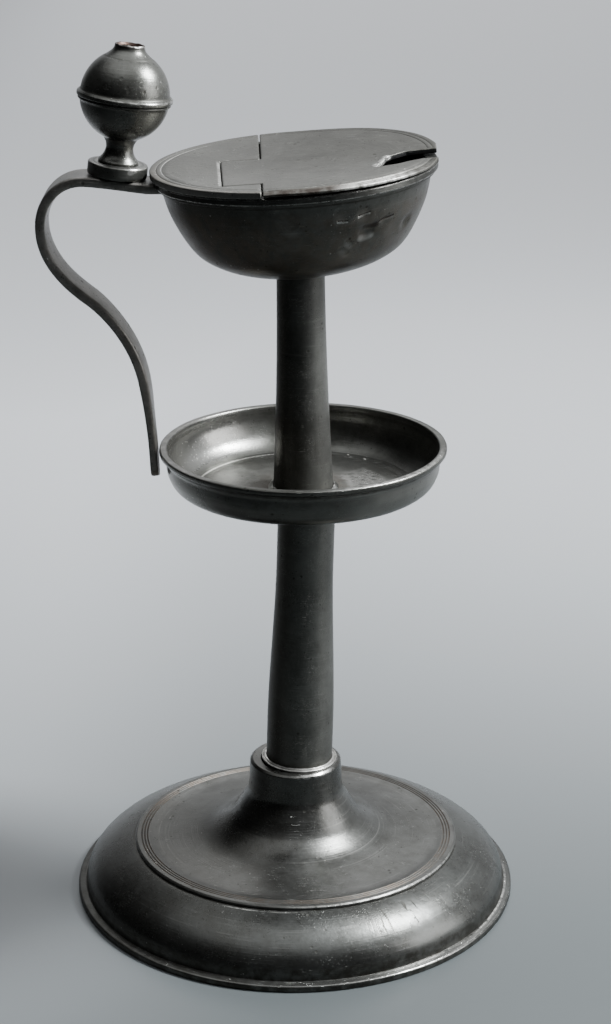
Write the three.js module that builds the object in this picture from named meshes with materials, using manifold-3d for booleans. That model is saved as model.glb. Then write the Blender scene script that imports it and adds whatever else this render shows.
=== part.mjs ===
import * as THREE from 'three';
import { mergeVertices } from 'three/addons/utils/BufferGeometryUtils.js';
import Module from 'manifold-3d';

// Pewter oil lamp on a tall foot: base, two tube stems, drip pan, bowl with a half hinged lid,
// strap handle and a hollow ball knop. Millimetres and degrees, +Z up.

// Fits and facets
const fitGap = 0.3;
const solderGap = 0.3;
const wideFacets = 40;
const narrowFacets = 24;

// Base skirt
const flangeRadius = 70;
const flangeWidth = 2.8;
const flangeEdgeHeight = 2.0;
const flangeRise = 0.9;
const flangeInset = 2.6;
const skirtHeight = 16.3;
const skirtWall = 1.8;
const skirtFullness = 1.6;
const ledgeWidth = 3.2;
const crownInset = 0.2;
const domeSteps = 6;

// Well plate with its trumpet and collar
const plateRadius = 51.6;
const plateLip = 0.9;
const plateRound = 0.4;
const plateWall = 1.5;
const plateFlatWidth = 7.0;
const dishDepth = 1.0;
const collarHeight = 25.9;
const collarWall = 3.75;
const collarLip = 1.6;
const throatFlare = 0.7;
const collarShift = 0.2;
const socketShelf = 1.5;

// Lower stem
const lowerStemFootRadius = 10.45;
const lowerStemTopRadius = 8.8;
const lowerStemLength = 89.3;
const lowerStemPlug = 7.0;
const stemWall = 1.4;
const stemSteps = 5;
const lowerStemLean = 1.6;
const lowerStemShift = 1.0;
const seatRingWidth = 1.2;
const seatRingHeight = 0.7;

// Drip pan
const panRadius = 43.6;
const panDepth = 15.3;
const panWall = 1.6;
const panRimWidth = 2.4;
const panFloorRadius = 33.0;
const panFlatRadius = 15.0;
const panRimDrop = 2.2;
const panRimRound = 0.4;
const panLean = -0.4;
const panShift = -1.1;
const panSolderWidth = 1.6;
const panSolderHeight = 1.3;

// Upper stem
const upperStemFootRadius = 9.2;
const upperStemTopRadius = 7.2;
const upperStemLength = 68.05;
const upperStemLean = -0.7;
const upperStemShift = 0.0;

// Lamp bowl
const bowlRadius = 39.4;
const bowlDepth = 30.75;
const bowlWall = 1.6;
const bandWidth = 2.0;
const bandHeight = 3.2;
const bandRound = 0.5;
const bowlLean = -3.8;
const bowlTip = 0.8;
const bowlShift = 0.5;

// Lid halves and their hinge
const lidOverhang = 0.9;
const lidThickness = 1.7;
const lidEdgeRound = 0.4;
const jointLine = -10.0;
const jointGap = 0.5;
const pinRadius = 0.8;
const pinClearance = 0.15;
const knuckleRadius = 2.1;
const pinSetback = 6.0;
const tongueShare = 0.812;
const tongueReach = 11.8;
const tongueDrift = 0.241;
const earShare = 0.089;
const pinOverhang = 0.6;
const slotWidth = 9.0;
const slotLength = 18.5;
const slotOffset = -6.5;
const flapRise = 0.05;

// Handle strap
const strapThickness = 2.6;
const strapWidth = 14.0;
const strapTipWidth = 9.0;
const strapChamfer = 0.5;
const strapSteps = 40;
const strapRise = 2.4;
const handleReach = 35.2;
const handleSway = 36.0;
const handleWaist = 21.6;
const handleFlare = 2.6;
const strapTail = 9.5;
const strapTaperDrop = 20.0;
const strapEntry = 1.6;
const knopSpace = 1.4;

// Knop
const knopFootRadius = 8.75;
const knopFootHeight = 3.6;
const knopFootRound = 0.5;
const knopNeckRadius = 4.0;
const knopNeckHeight = 6.0;
const knopNeckFlare = 1.9;
const ballRadius = 13.0;
const ballWall = 1.3;
const ballTopHeight = 13.4;
const beadRadius = 0.9;
const finialRadius = 4.3;
const finialHeight = 2.4;
const finialWall = 1.1;
const coreLength = 5.0;
const coreDrop = 0.9;
const ballSteps = 5;

const wasm = await Module();
wasm.setup();

const radians = THREE.MathUtils.degToRad;

function makeMaterial(color, roughness, metalness) {
  return new THREE.MeshStandardMaterial({ color, roughness, metalness });
}

const pewter = makeMaterial(0x53544f, 0.42, 0.85);
const brightPewter = makeMaterial(0x8b8b86, 0.35, 0.9);
const darkPewter = makeMaterial(0x3e3f3b, 0.45, 0.85);
const pinMetal = makeMaterial(0x6a6256, 0.5, 0.8);
const rust = makeMaterial(0x5a3a2a, 0.9, 0.1);

// Closed solids

function closedArrays(geometry) {
  const bare = new THREE.BufferGeometry();
  bare.setAttribute('position', geometry.getAttribute('position').clone());
  if (geometry.index) {
    bare.setIndex(geometry.index.clone());
  }
  const merged = mergeVertices(bare, 1e-4);
  const points = merged.getAttribute('position');
  const index = merged.index.array;
  const corners = [];
  let volume = 0;
  const [a, b, c] = [new THREE.Vector3(), new THREE.Vector3(), new THREE.Vector3()];
  for (let i = 0; i < index.length; i += 3) {
    const [p, q, r] = [index[i], index[i + 1], index[i + 2]];
    if (p === q || q === r || r === p) {
      continue;
    }
    a.fromBufferAttribute(points, p);
    b.fromBufferAttribute(points, q);
    c.fromBufferAttribute(points, r);
    volume += a.dot(b.clone().cross(c));
    corners.push(p, q, r);
  }
  if (volume < 0) {
    corners.reverse();
  }
  return { vertProperties: Float32Array.from(points.array), triVerts: Uint32Array.from(corners) };
}

function toSolid(geometry) {
  const { vertProperties, triVerts } = closedArrays(geometry);
  return new wasm.Manifold(new wasm.Mesh({ numProp: 3, vertProperties, triVerts }));
}

function toGeometry(solid) {
  const mesh = solid.getMesh();
  const geometry = new THREE.BufferGeometry();
  geometry.setAttribute('position', new THREE.BufferAttribute(Float32Array.from(mesh.vertProperties), 3));
  geometry.setIndex(new THREE.BufferAttribute(Uint32Array.from(mesh.triVerts), 1));
  geometry.computeVertexNormals();
  return geometry;
}

function turned(profile, facets) {
  const outline = profile.map(([radius, height]) => new THREE.Vector2(radius, height));
  const geometry = new THREE.LatheGeometry(outline, facets);
  geometry.rotateX(Math.PI / 2);
  return geometry;
}

function turnedRing(profile, facets) {
  return turned([...profile, profile[0]], facets);
}

function block(xLow, xHigh, yLow, yHigh, zLow, zHigh) {
  const geometry = new THREE.BoxGeometry(xHigh - xLow, yHigh - yLow, zHigh - zLow);
  geometry.translate((xLow + xHigh) / 2, (yLow + yHigh) / 2, (zLow + zHigh) / 2);
  return geometry;
}

function barrel(radius, yLow, yHigh, x, z) {
  const geometry = new THREE.CylinderGeometry(radius, radius, yHigh - yLow, narrowFacets);
  geometry.translate(x, (yLow + yHigh) / 2, z);
  return geometry;
}

function moved(geometry, fromGroup, toGroup) {
  fromGroup.updateWorldMatrix(true, false);
  toGroup.updateWorldMatrix(true, false);
  const matrix = toGroup.matrixWorld.clone().invert().multiply(fromGroup.matrixWorld);
  return geometry.clone().applyMatrix4(matrix);
}

function buttGap(radius, lean) {
  return solderGap + radius * Math.tan(radians(Math.abs(lean)));
}

// Outline offset by a wall thickness, to the left of the way the points run
function offsetOutline(points, wall) {
  const result = [];
  for (let i = 0; i < points.length; i += 1) {
    const before = points[Math.max(i - 1, 0)];
    const after = points[Math.min(i + 1, points.length - 1)];
    const along = new THREE.Vector2(after[0] - before[0], after[1] - before[1]).normalize();
    const radius = Math.max(points[i][0] - along.y * wall, 0);
    result.push([radius, points[i][1] + along.x * wall]);
  }
  return result;
}

function smoothOutline(points, steps) {
  const curve = new THREE.SplineCurve(points.map(([radius, height]) => new THREE.Vector2(radius, height)));
  return curve.getPoints(steps).map((point) => [point.x, point.y]);
}

function addMesh(parent, name, geometry, material) {
  const mesh = new THREE.Mesh(geometry, material);
  mesh.name = name;
  parent.add(mesh);
  return mesh;
}

function addFrame(parent, x, z, lean, tip = 0) {
  const frame = new THREE.Group();
  frame.position.set(x, 0, z);
  frame.rotation.set(radians(tip), radians(lean), 0);
  parent.add(frame);
  return frame;
}

// Frames, each carried by the piece below it

const group = new THREE.Group();
const lamp = new THREE.Group();
group.add(lamp);

const skirtFootRadius = flangeRadius - flangeWidth;
const plateSeat = skirtHeight + solderGap;
const socketRadius = lowerStemFootRadius + fitGap;
const collarRadius = socketRadius + collarWall;
const plateFrame = addFrame(lamp, collarShift, plateSeat, 0);
const collarTop = plateLip + collarHeight;
const bandRadius = bowlRadius + bandWidth;
const lidRadius = bandRadius + lidOverhang;
const stemDatum = collarTop - lowerStemPlug;
const lowerStemFrame = addFrame(plateFrame, lowerStemShift, stemDatum, lowerStemLean);
const stemReach = lowerStemPlug + lowerStemLength;
const panTurn = panLean - lowerStemLean;
const panFrame = addFrame(lowerStemFrame, panShift, stemReach, panTurn);
const upperTurn = upperStemLean - panLean;
const upperStemFrame = addFrame(panFrame, upperStemShift, panWall, upperTurn);
const bowlTurn = bowlLean - upperStemLean;
const bowlFrame = addFrame(upperStemFrame, bowlShift, upperStemLength, bowlTurn, bowlTip);
const lidFrame = addFrame(bowlFrame, 0, bowlDepth + fitGap, 0);

// Base skirt

function domeOutline(inset) {
  const foot = skirtFootRadius - inset;
  const crown = plateRadius - crownInset;
  const low = flangeEdgeHeight + flangeRise - inset;
  const high = skirtHeight - inset;
  const outline = [];
  for (let i = 0; i <= domeSteps; i += 1) {
    const turn = (i / domeSteps) * (Math.PI / 2);
    const radius = crown + (foot - crown) * Math.cos(turn) ** skirtFullness;
    outline.push([radius, low + (high - low) * Math.sin(turn)]);
  }
  return outline;
}

function makeBaseSkirt() {
  const mouthRadius = skirtFootRadius - flangeInset;
  const ledgeRadius = plateRadius - ledgeWidth;
  const profile = [
    [mouthRadius, 0],
    [flangeRadius, 0],
    [flangeRadius, flangeEdgeHeight],
    ...domeOutline(0),
    [ledgeRadius, skirtHeight],
    [ledgeRadius, skirtHeight - skirtWall],
    ...domeOutline(skirtWall).reverse(),
  ];
  return turnedRing(profile, wideFacets);
}

addMesh(lamp, 'base_skirt', makeBaseSkirt(), pewter);

// Lower stem, plugged into the collar

function lowerStemRadius(height) {
  const waist = THREE.MathUtils.smoothstep(height, lowerStemLength * 0.14, lowerStemLength * 0.76);
  return lowerStemFootRadius + (lowerStemTopRadius - lowerStemFootRadius) * waist;
}

function lowerStemOutline(extra, low) {
  const outline = [[lowerStemFootRadius + extra, low], [lowerStemFootRadius + extra, lowerStemPlug]];
  for (let i = 1; i <= stemSteps; i += 1) {
    const height = (lowerStemLength * i) / stemSteps;
    outline.push([lowerStemRadius(height) + extra, lowerStemPlug + height]);
  }
  return outline;
}

function makeLowerStem() {
  const outside = lowerStemOutline(0, 0);
  const inside = lowerStemOutline(-stemWall, 0).reverse();
  const tube = toSolid(turnedRing([...outside, ...inside], narrowFacets));
  const underPan = block(-panRadius, panRadius, -panRadius, panRadius, -solderGap, panDepth);
  const above = moved(underPan, panFrame, lowerStemFrame);
  return toGeometry(tube.subtract(toSolid(above)));
}

addMesh(lowerStemFrame, 'lower_stem', makeLowerStem(), pewter);

// Well plate, bored for the stem

function plateOutline() {
  const throat = collarRadius + throatFlare;
  const reach = plateRadius - plateFlatWidth - throat;
  return smoothOutline([
    [throat + reach, plateLip - dishDepth * 0.4],
    [throat + reach * 0.68, plateLip - dishDepth],
    [throat + reach * 0.36, plateLip + collarHeight * 0.02],
    [throat + reach * 0.176, plateLip + collarHeight * 0.13],
    [throat + reach * 0.071, plateLip + collarHeight * 0.33],
    [throat, plateLip + collarHeight * 0.62],
    [collarRadius, collarTop - collarLip],
  ], 9);
}

function makeWellPlate() {
  const rise = plateOutline();
  const shelfRadius = lowerStemFootRadius - stemWall / 2;
  const shelfUnder = stemDatum - socketShelf;
  const underside = offsetOutline(rise, plateWall).reverse().filter(([, height]) => height < shelfUnder);
  const profile = [
    [plateRadius, 0],
    [plateRadius, plateLip - plateRound],
    [plateRadius - plateRound, plateLip],
    [plateRadius - plateFlatWidth * 0.4, plateLip],
    ...rise,
    [collarRadius - collarLip * 0.3, collarTop - collarLip * 0.3],
    [collarRadius - collarLip, collarTop],
    [shelfRadius, collarTop],
    [shelfRadius, shelfUnder],
    ...underside,
    [plateRadius - ledgeWidth, 0],
  ];
  const plate = toSolid(turnedRing(profile, wideFacets));
  const plug = turned([
    [0, -fitGap],
    ...lowerStemOutline(fitGap, -fitGap),
    [0, stemReach],
  ], narrowFacets);
  return toGeometry(plate.subtract(toSolid(moved(plug, lowerStemFrame, plateFrame))));
}

addMesh(plateFrame, 'base_well', makeWellPlate(), pewter);

// Bright seat ring round the stem where it leaves the collar

function makeSeatRing() {
  const outer = socketRadius + seatRingWidth;
  const low = lowerStemPlug + buttGap(outer, lowerStemLean);
  const high = low + seatRingHeight;
  return turnedRing([
    [socketRadius, low],
    [outer, low],
    [outer, high - seatRingHeight * 0.4],
    [outer - seatRingWidth * 0.3, high],
    [socketRadius, high],
  ], narrowFacets);
}

addMesh(lowerStemFrame, 'stem_seat_ring', makeSeatRing(), brightPewter);

// Drip pan

const panMouthRadius = panRadius - panRimWidth;

// Radius between the floor circle, at 0, and the inside of the rim, at 1
function panSideRadius(share) {
  return panFloorRadius + (panMouthRadius - panFloorRadius) * share;
}

function makeDripPan() {
  const outside = smoothOutline([
    [panFlatRadius, 0],
    [panFloorRadius * 0.86, panDepth * 0.08],
    [panSideRadius(0.6), panDepth * 0.21],
    [panSideRadius(0.98), panDepth * 0.48],
    [panSideRadius(1.04), panDepth * 0.76],
  ], 7);
  return turned([
    [0, 0],
    ...outside,
    [panRadius - panRimWidth * 0.4, panDepth - panRimDrop],
    [panRadius, panDepth - panRimDrop * 0.6],
    [panRadius, panDepth - panRimRound],
    [panRadius - panRimRound, panDepth],
    [panMouthRadius + panRimRound, panDepth],
    [panMouthRadius, panDepth - panRimRound],
    [panSideRadius(0.95), panDepth * 0.68],
    [panSideRadius(0.73), panDepth * 0.4],
    [panSideRadius(0.39), panDepth * 0.21],
    [panFloorRadius, panWall],
    [0, panWall],
  ], wideFacets);
}

addMesh(panFrame, 'drip_pan', makeDripPan(), pewter);

// Upper stem, shaped to the pan floor and to the belly of the bowl

function upperStemRadius(height) {
  const left = 1 - Math.min(height / upperStemLength, 1);
  return upperStemTopRadius + (upperStemFootRadius - upperStemTopRadius) * left ** 1.8;
}

function upperStemOutline(low, extra) {
  const high = upperStemLength + bowlDepth * 0.15;
  const outline = [];
  for (let i = 0; i <= stemSteps; i += 1) {
    const height = low + ((high - low) * i) / stemSteps;
    outline.push([upperStemRadius(height) + extra, height]);
  }
  return outline;
}

function bowlOutside() {
  return smoothOutline([
    [0, 0],
    [bowlRadius * 0.25, bowlDepth * 0.015],
    [bowlRadius * 0.48, bowlDepth * 0.065],
    [bowlRadius * 0.68, bowlDepth * 0.165],
    [bowlRadius * 0.81, bowlDepth * 0.31],
    [bowlRadius * 0.94, bowlDepth * 0.62],
    [bowlRadius, bowlDepth - bandHeight],
  ], 9);
}

function bowlEnvelope(gap) {
  return turned([
    [0, -gap],
    ...offsetOutline(bowlOutside().slice(1), -gap),
    [bandRadius + gap, bowlDepth - bandHeight - gap],
    [bandRadius + gap, bowlDepth + gap],
    [0, bowlDepth + gap],
  ], wideFacets);
}

function makeUpperStem() {
  const low = buttGap(upperStemFootRadius, upperTurn);
  const outside = upperStemOutline(low, 0);
  const inside = upperStemOutline(low, -stemWall).reverse();
  const tube = toSolid(turnedRing([...outside, ...inside], narrowFacets));
  const belly = moved(bowlEnvelope(solderGap), bowlFrame, upperStemFrame);
  return toGeometry(tube.subtract(toSolid(belly)));
}

addMesh(upperStemFrame, 'upper_stem', makeUpperStem(), pewter);

// Solder run round the foot of the upper stem, on the pan floor

function makePanSolder() {
  const inner = upperStemFootRadius + fitGap;
  const outer = inner + panSolderWidth;
  const low = buttGap(outer, upperTurn);
  return turnedRing([
    [inner, low],
    [outer, low],
    [outer - panSolderWidth * 0.25, low + panSolderHeight * 0.25],
    [inner + panSolderWidth * 0.25, low + panSolderHeight],
    [inner, low + panSolderHeight],
  ], narrowFacets);
}

addMesh(upperStemFrame, 'pan_solder_run', makePanSolder(), brightPewter);

// Lamp bowl with its rim band

function makeLampBowl() {
  const outside = bowlOutside();
  const inside = offsetOutline(outside, bowlWall).reverse();
  inside[inside.length - 1][0] = 0;
  const rimInner = bowlRadius - bowlWall;
  const profile = [
    ...outside,
    [bandRadius - bandRound, bowlDepth - bandHeight * 0.95],
    [bandRadius, bowlDepth - bandHeight * 0.6],
    [bandRadius, bowlDepth - bandRound],
    [bandRadius - bandRound, bowlDepth],
    [rimInner, bowlDepth],
    ...inside,
  ];
  return turned(profile, wideFacets);
}

addMesh(bowlFrame, 'lamp_bowl', makeLampBowl(), pewter);

// Lid halves, cut from one disc

const pinHeight = lidThickness - knuckleRadius;
// The tongue's width, its place towards the front and the ears beside it are shares of the bowl's radius
const tongueWidth = tongueShare * bowlRadius;
const earLength = earShare * bowlRadius;
const tongueMiddle = -tongueDrift * bowlRadius;
const tongueFront = tongueMiddle - tongueWidth / 2;
const tongueBack = tongueMiddle + tongueWidth / 2;
const tongueEnd = jointLine - tongueReach;
const pinLine = jointLine - pinSetback;
const boreRadius = pinRadius + pinClearance;

function lidDisc() {
  return toSolid(turned([
    [0, 0],
    [lidRadius - lidEdgeRound, 0],
    [lidRadius, lidEdgeRound],
    [lidRadius, lidThickness - lidEdgeRound],
    [lidRadius - lidEdgeRound, lidThickness],
    [0, lidThickness],
  ], wideFacets));
}

function barrelSolid(radius, yLow, yHigh, drop = 0) {
  return toSolid(barrel(radius, yLow, yHigh, pinLine, pinHeight - drop));
}

function makeFixedHalf() {
  const edge = jointLine - jointGap / 2;
  const far = 2 * lidRadius;
  const half = lidDisc().subtract(toSolid(block(edge, far, -far, far, -far, far)));
  const notch = block(
    tongueEnd - jointGap, far,
    tongueFront - jointGap, tongueBack + jointGap,
    -far, far,
  );
  const frontEar = barrelSolid(knuckleRadius, tongueFront - jointGap - earLength, tongueFront - jointGap);
  const backEar = barrelSolid(knuckleRadius, tongueBack + jointGap, tongueBack + jointGap + earLength);
  const bore = barrelSolid(boreRadius, -far, far);
  return toGeometry(half.subtract(toSolid(notch)).add(frontEar).add(backEar).subtract(bore));
}

function makeFlap() {
  const edge = jointLine + jointGap / 2;
  const far = 2 * lidRadius;
  const half = lidDisc().subtract(toSolid(block(-far, edge, -far, far, -far, far)));
  const tongue = block(tongueEnd, edge + jointGap, tongueFront, tongueBack, 0, lidThickness);
  const slotStart = lidRadius - slotLength + slotWidth / 2;
  const slotFront = slotOffset - slotWidth / 2;
  const slotBack = slotOffset + slotWidth / 2;
  const slot = toSolid(block(slotStart, far, slotFront, slotBack, -far, far));
  const slotEnd = new THREE.CylinderGeometry(slotWidth / 2, slotWidth / 2, far, narrowFacets);
  slotEnd.rotateX(Math.PI / 2);
  slotEnd.translate(slotStart, slotOffset, 0);
  const knuckle = barrelSolid(knuckleRadius, tongueFront, tongueBack, flapRise);
  const bore = barrelSolid(boreRadius, -far, far, flapRise);
  const whole = half.add(toSolid(tongue)).add(knuckle).subtract(bore);
  const flap = toGeometry(whole.subtract(slot.add(toSolid(slotEnd))));
  flap.translate(0, 0, flapRise);
  return flap;
}

function makeHingePin() {
  const reach = earLength + jointGap + pinOverhang;
  return barrel(pinRadius, tongueFront - reach, tongueBack + reach, pinLine, pinHeight);
}

addMesh(lidFrame, 'lid_fixed', makeFixedHalf(), pewter);
addMesh(lidFrame, 'lid_flap', makeFlap(), pewter);
addMesh(lidFrame, 'hinge_pin', makeHingePin(), pinMetal);

// Handle strap, from the bowl wall under the band down to the pan rim

function edgePoint(frame, radius, height) {
  frame.updateWorldMatrix(true, false);
  return new THREE.Vector3(-radius, 0, height).applyMatrix4(frame.matrixWorld);
}

const bowlSide = edgePoint(bowlFrame, bowlRadius, bowlDepth - bandHeight);
const panSide = edgePoint(panFrame, panRadius, panDepth);

// Shares of the handle's reach and of its drop to the sway, from the wall of the bowl
function nearBowl(out, down) {
  return new THREE.Vector3(bowlSide.x - out * handleReach, 0, bowlSide.z + strapRise - down * handleSway);
}

// Shares of the handle's flare and of the height of its waist, from the pan rim
function nearPan(out, up) {
  const rimX = panSide.x - fitGap - strapThickness / 2;
  return new THREE.Vector3(rimX - out * handleFlare, 0, panSide.z + up * handleWaist);
}

function strapCurve() {
  const path = new THREE.CurvePath();
  const crest = nearBowl(0.625, 0);
  const back = nearBowl(1, 0.383);
  const sway = nearBowl(0.6, 1);
  const waist = nearPan(1, 1);
  const rim = nearPan(0, 0);
  const arcs = [
    [nearBowl(-strapEntry / handleReach, 0.079), nearBowl(0.17, 0.054), nearBowl(0.415, 0.011), crest],
    [crest, nearBowl(0.852, -0.006), nearBowl(1, 0.172), back],
    [back, nearBowl(1, 0.651), nearBowl(0.81, 0.848), sway],
    [sway, nearBowl(0.384, 1.175), nearPan(1.667, 1.398), waist],
    [waist, nearPan(0.364, 0.602), nearPan(0.091, 0.177), rim],
  ];
  for (const points of arcs) {
    path.add(new THREE.CubicBezierCurve3(...points));
  }
  path.add(new THREE.LineCurve3(rim, nearPan(-0.15, -strapTail / handleWaist)));
  return path;
}

const strapPath = strapCurve();

function strapSolid() {
  const half = strapWidth / 2;
  const thick = strapThickness / 2;
  const section = new THREE.Shape();
  section.moveTo(-half, strapChamfer - thick);
  section.lineTo(-half, thick - strapChamfer);
  section.lineTo(strapChamfer - half, thick);
  section.lineTo(half - strapChamfer, thick);
  section.lineTo(half, thick - strapChamfer);
  section.lineTo(half, strapChamfer - thick);
  section.lineTo(half - strapChamfer, -thick);
  section.lineTo(strapChamfer - half, -thick);
  section.closePath();
  return toSolid(new THREE.ExtrudeGeometry(section, { steps: strapSteps, extrudePath: strapPath }));
}

// Front view of the strap: narrower towards its round lower end
function strapTaper() {
  const low = panSide.z - strapTail;
  const high = bowlSide.z + strapRise + strapThickness;
  const shoulder = bowlSide.z - strapTaperDrop;
  const half = strapWidth / 2;
  const tip = strapTipWidth / 2;
  const outline = new THREE.Shape();
  outline.moveTo(high, -half - strapChamfer);
  outline.lineTo(shoulder, -half);
  outline.lineTo(low + tip, -tip);
  outline.absarc(low + tip, 0, tip, -Math.PI / 2, -Math.PI * 1.5, true);
  outline.lineTo(shoulder, half);
  outline.lineTo(high, half + strapChamfer);
  outline.closePath();
  const through = 4 * lidRadius;
  const settings = { depth: through, curveSegments: 8, bevelEnabled: false };
  const geometry = new THREE.ExtrudeGeometry(outline, settings);
  geometry.rotateY(-Math.PI / 2);
  geometry.translate(through / 4, 0, 0);
  return toSolid(geometry);
}

function makeStrap() {
  const bowlSolid = toSolid(moved(bowlEnvelope(solderGap), bowlFrame, lamp));
  return toGeometry(strapSolid().intersect(strapTaper()).subtract(bowlSolid));
}

addMesh(lamp, 'handle_strap', makeStrap(), darkPewter);

// Knop, standing square on the strap

const knopDistance = strapEntry + lidRadius - bowlRadius + knopFootRadius + knopSpace;
const knopPlace = knopDistance / strapPath.getLength();
const knopSpot = strapPath.getPointAt(knopPlace);
const knopWay = strapPath.getTangentAt(knopPlace);
const knopLean = THREE.MathUtils.radToDeg(Math.atan2(knopWay.z, -knopWay.x));
const seatRise = strapThickness / 2 + buttGap(knopFootRadius, 1);
const knopFrame = addFrame(lamp, knopSpot.x, knopSpot.z, knopLean);
const footTop = seatRise + knopFootHeight;
const ballCentre = footTop + fitGap + knopNeckHeight + ballRadius;
const seamHeight = ballCentre - beadRadius;

function ballPoint(radius, height, angle) {
  return [radius * Math.cos(angle), ballCentre + height * Math.sin(angle)];
}

function makeKnopFoot() {
  return turned([
    [0, seatRise],
    [knopFootRadius - knopFootRound, seatRise],
    [knopFootRadius, seatRise + knopFootRound],
    [knopFootRadius, footTop - knopFootRound],
    [knopFootRadius - knopFootRound, footTop],
    [0, footTop],
  ], narrowFacets);
}

function makeKnopLower() {
  const low = footTop + fitGap;
  const start = -Math.acos((knopNeckRadius + knopNeckFlare * 0.26) / ballRadius);
  const seam = Math.asin((seamHeight - ballCentre) / ballRadius);
  const outside = [];
  const inside = [];
  for (let i = 0; i <= ballSteps; i += 1) {
    const angle = start + ((seam - start) * i) / ballSteps;
    outside.push(ballPoint(ballRadius, ballRadius, angle));
    inside.push(ballPoint(ballRadius - ballWall, ballRadius - ballWall, angle));
  }
  const innerRim = inside.pop();
  return turned([
    [0, low],
    [knopNeckRadius + knopNeckFlare, low],
    [knopNeckRadius + knopNeckFlare * 0.8, low + knopNeckHeight * 0.1],
    [knopNeckRadius + knopNeckFlare * 0.26, low + knopNeckHeight * 0.24],
    [knopNeckRadius, low + knopNeckHeight * 0.5],
    ...outside,
    [innerRim[0], outside[ballSteps][1]],
    ...inside.reverse(),
    [0, ballPoint(0, ballRadius - ballWall, start)[1]],
  ], narrowFacets);
}

// Angles up the ball at which its top half ends, outside and inside
const finialTurn = Math.acos(finialRadius / ballRadius);
const finialInnerTurn = Math.acos((finialRadius - finialWall) / (ballRadius - ballWall));
const finialTop = ballPoint(ballRadius, ballTopHeight, finialTurn)[1] + finialHeight;

function makeKnopUpper() {
  const low = seamHeight + solderGap;
  const firstTurn = Math.asin(beadRadius / ballTopHeight) * 1.8;
  const outside = [];
  const inside = [];
  for (let i = 0; i <= ballSteps; i += 1) {
    const turn = firstTurn + ((finialTurn - firstTurn) * i) / ballSteps;
    const innerTurn = firstTurn + ((finialInnerTurn - firstTurn) * i) / ballSteps;
    outside.push(ballPoint(ballRadius, ballTopHeight, turn));
    inside.push(ballPoint(ballRadius - ballWall, ballTopHeight - ballWall, innerTurn));
  }
  return turnedRing([
    [ballRadius - ballWall, low],
    [ballRadius, low],
    [ballRadius + beadRadius * 0.7, ballCentre - beadRadius * 0.3],
    [ballRadius + beadRadius * 0.8, ballCentre + beadRadius * 0.3],
    [ballRadius + beadRadius * 0.4, ballCentre + beadRadius * 0.9],
    ...outside,
    [finialRadius, finialTop],
    [finialRadius - finialWall, finialTop],
    ...inside.reverse(),
  ], narrowFacets);
}

// Corroded core left in the broken neck of the finial
function makeFinialCore() {
  const top = finialTop - coreDrop;
  const radius = finialRadius - finialWall - fitGap;
  return turned([
    [0, top - coreLength],
    [radius * 0.8, top - coreLength],
    [radius, top - coreLength * 0.4],
    [radius, top - coreDrop * 0.2],
    [radius * 0.6, top],
    [0, top - coreDrop * 0.5],
  ], narrowFacets);
}

addMesh(knopFrame, 'knop_foot', makeKnopFoot(), pewter);
addMesh(knopFrame, 'knop_lower', makeKnopLower(), pewter);
addMesh(knopFrame, 'knop_upper', makeKnopUpper(), pewter);
addMesh(knopFrame, 'finial_core', makeFinialCore(), rust);

// Origin at the middle of the bottom of the whole lamp
group.updateWorldMatrix(true, true);
const extent = new THREE.Box3().setFromObject(lamp, true);
lamp.position.x = -(extent.min.x + extent.max.x) / 2;
group.updateWorldMatrix(true, true);

export default group;
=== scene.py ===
import math
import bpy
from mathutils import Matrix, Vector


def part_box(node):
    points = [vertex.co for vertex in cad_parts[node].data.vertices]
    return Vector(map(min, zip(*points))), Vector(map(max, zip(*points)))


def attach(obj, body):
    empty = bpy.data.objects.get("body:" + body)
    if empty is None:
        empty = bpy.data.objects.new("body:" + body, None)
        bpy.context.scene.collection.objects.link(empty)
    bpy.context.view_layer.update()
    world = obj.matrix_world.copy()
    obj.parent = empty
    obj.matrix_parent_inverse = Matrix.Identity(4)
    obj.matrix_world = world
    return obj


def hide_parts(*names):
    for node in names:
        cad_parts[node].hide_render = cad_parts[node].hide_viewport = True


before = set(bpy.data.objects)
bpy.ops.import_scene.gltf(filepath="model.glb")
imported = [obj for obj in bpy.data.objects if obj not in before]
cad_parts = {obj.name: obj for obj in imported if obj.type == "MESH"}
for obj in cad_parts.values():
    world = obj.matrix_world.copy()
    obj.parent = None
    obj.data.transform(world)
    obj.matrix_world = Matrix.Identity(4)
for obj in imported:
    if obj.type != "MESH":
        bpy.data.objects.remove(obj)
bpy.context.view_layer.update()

import types

import bmesh
import bpy
from mathutils import Euler, Matrix, Vector, noise
from mathutils.geometry import delaunay_2d_cdt

# Pewter oil lamp: turned base, two stems, drip pan, bowl with a half hinged lid, strap handle and knop.
# Sizes in the panel are real lengths. The mesh code works in millimetres, in the frame of each piece.
# A corner of an outline is (radius, height, rounding), and a finish goes from the whole surface to details.

bl_info = {
    "name": "Pewter Oil Lamp",
    "version": (1, 0, 0),
    "blender": (4, 5, 0),
    "location": "3D View > Sidebar > Oil Lamp",
    "description": "Builds a turned pewter oil lamp with its finish, lights and camera",
    "category": "Add Mesh",
}

MM = 0.001
UP = Vector((0, 0, 1))
SKIRT_LOW, SKIRT_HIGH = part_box("base_skirt")
NOISE_SEED = 4

# Room that keeps a mesh inside the outside of its solid, or off the piece that it touches
ROOM = 0.06


# Sizes and colours

def length(name, millimetres, description):
    return bpy.props.FloatProperty(
        name=name, description=description, default=millimetres * MM,
        unit="LENGTH", subtype="DISTANCE", precision=5)


def angle(name, degrees, description):
    return bpy.props.FloatProperty(
        name=name, description=description, default=math.radians(degrees),
        unit="ROTATION", subtype="ANGLE")


def share(name, value, description):
    return bpy.props.FloatProperty(
        name=name, description=description, default=value, min=0.0, subtype="FACTOR")


def colour(name, value, description):
    return bpy.props.FloatVectorProperty(
        name=name, description=description, default=value, size=3, min=0.0, max=1.0, subtype="COLOR")


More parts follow.
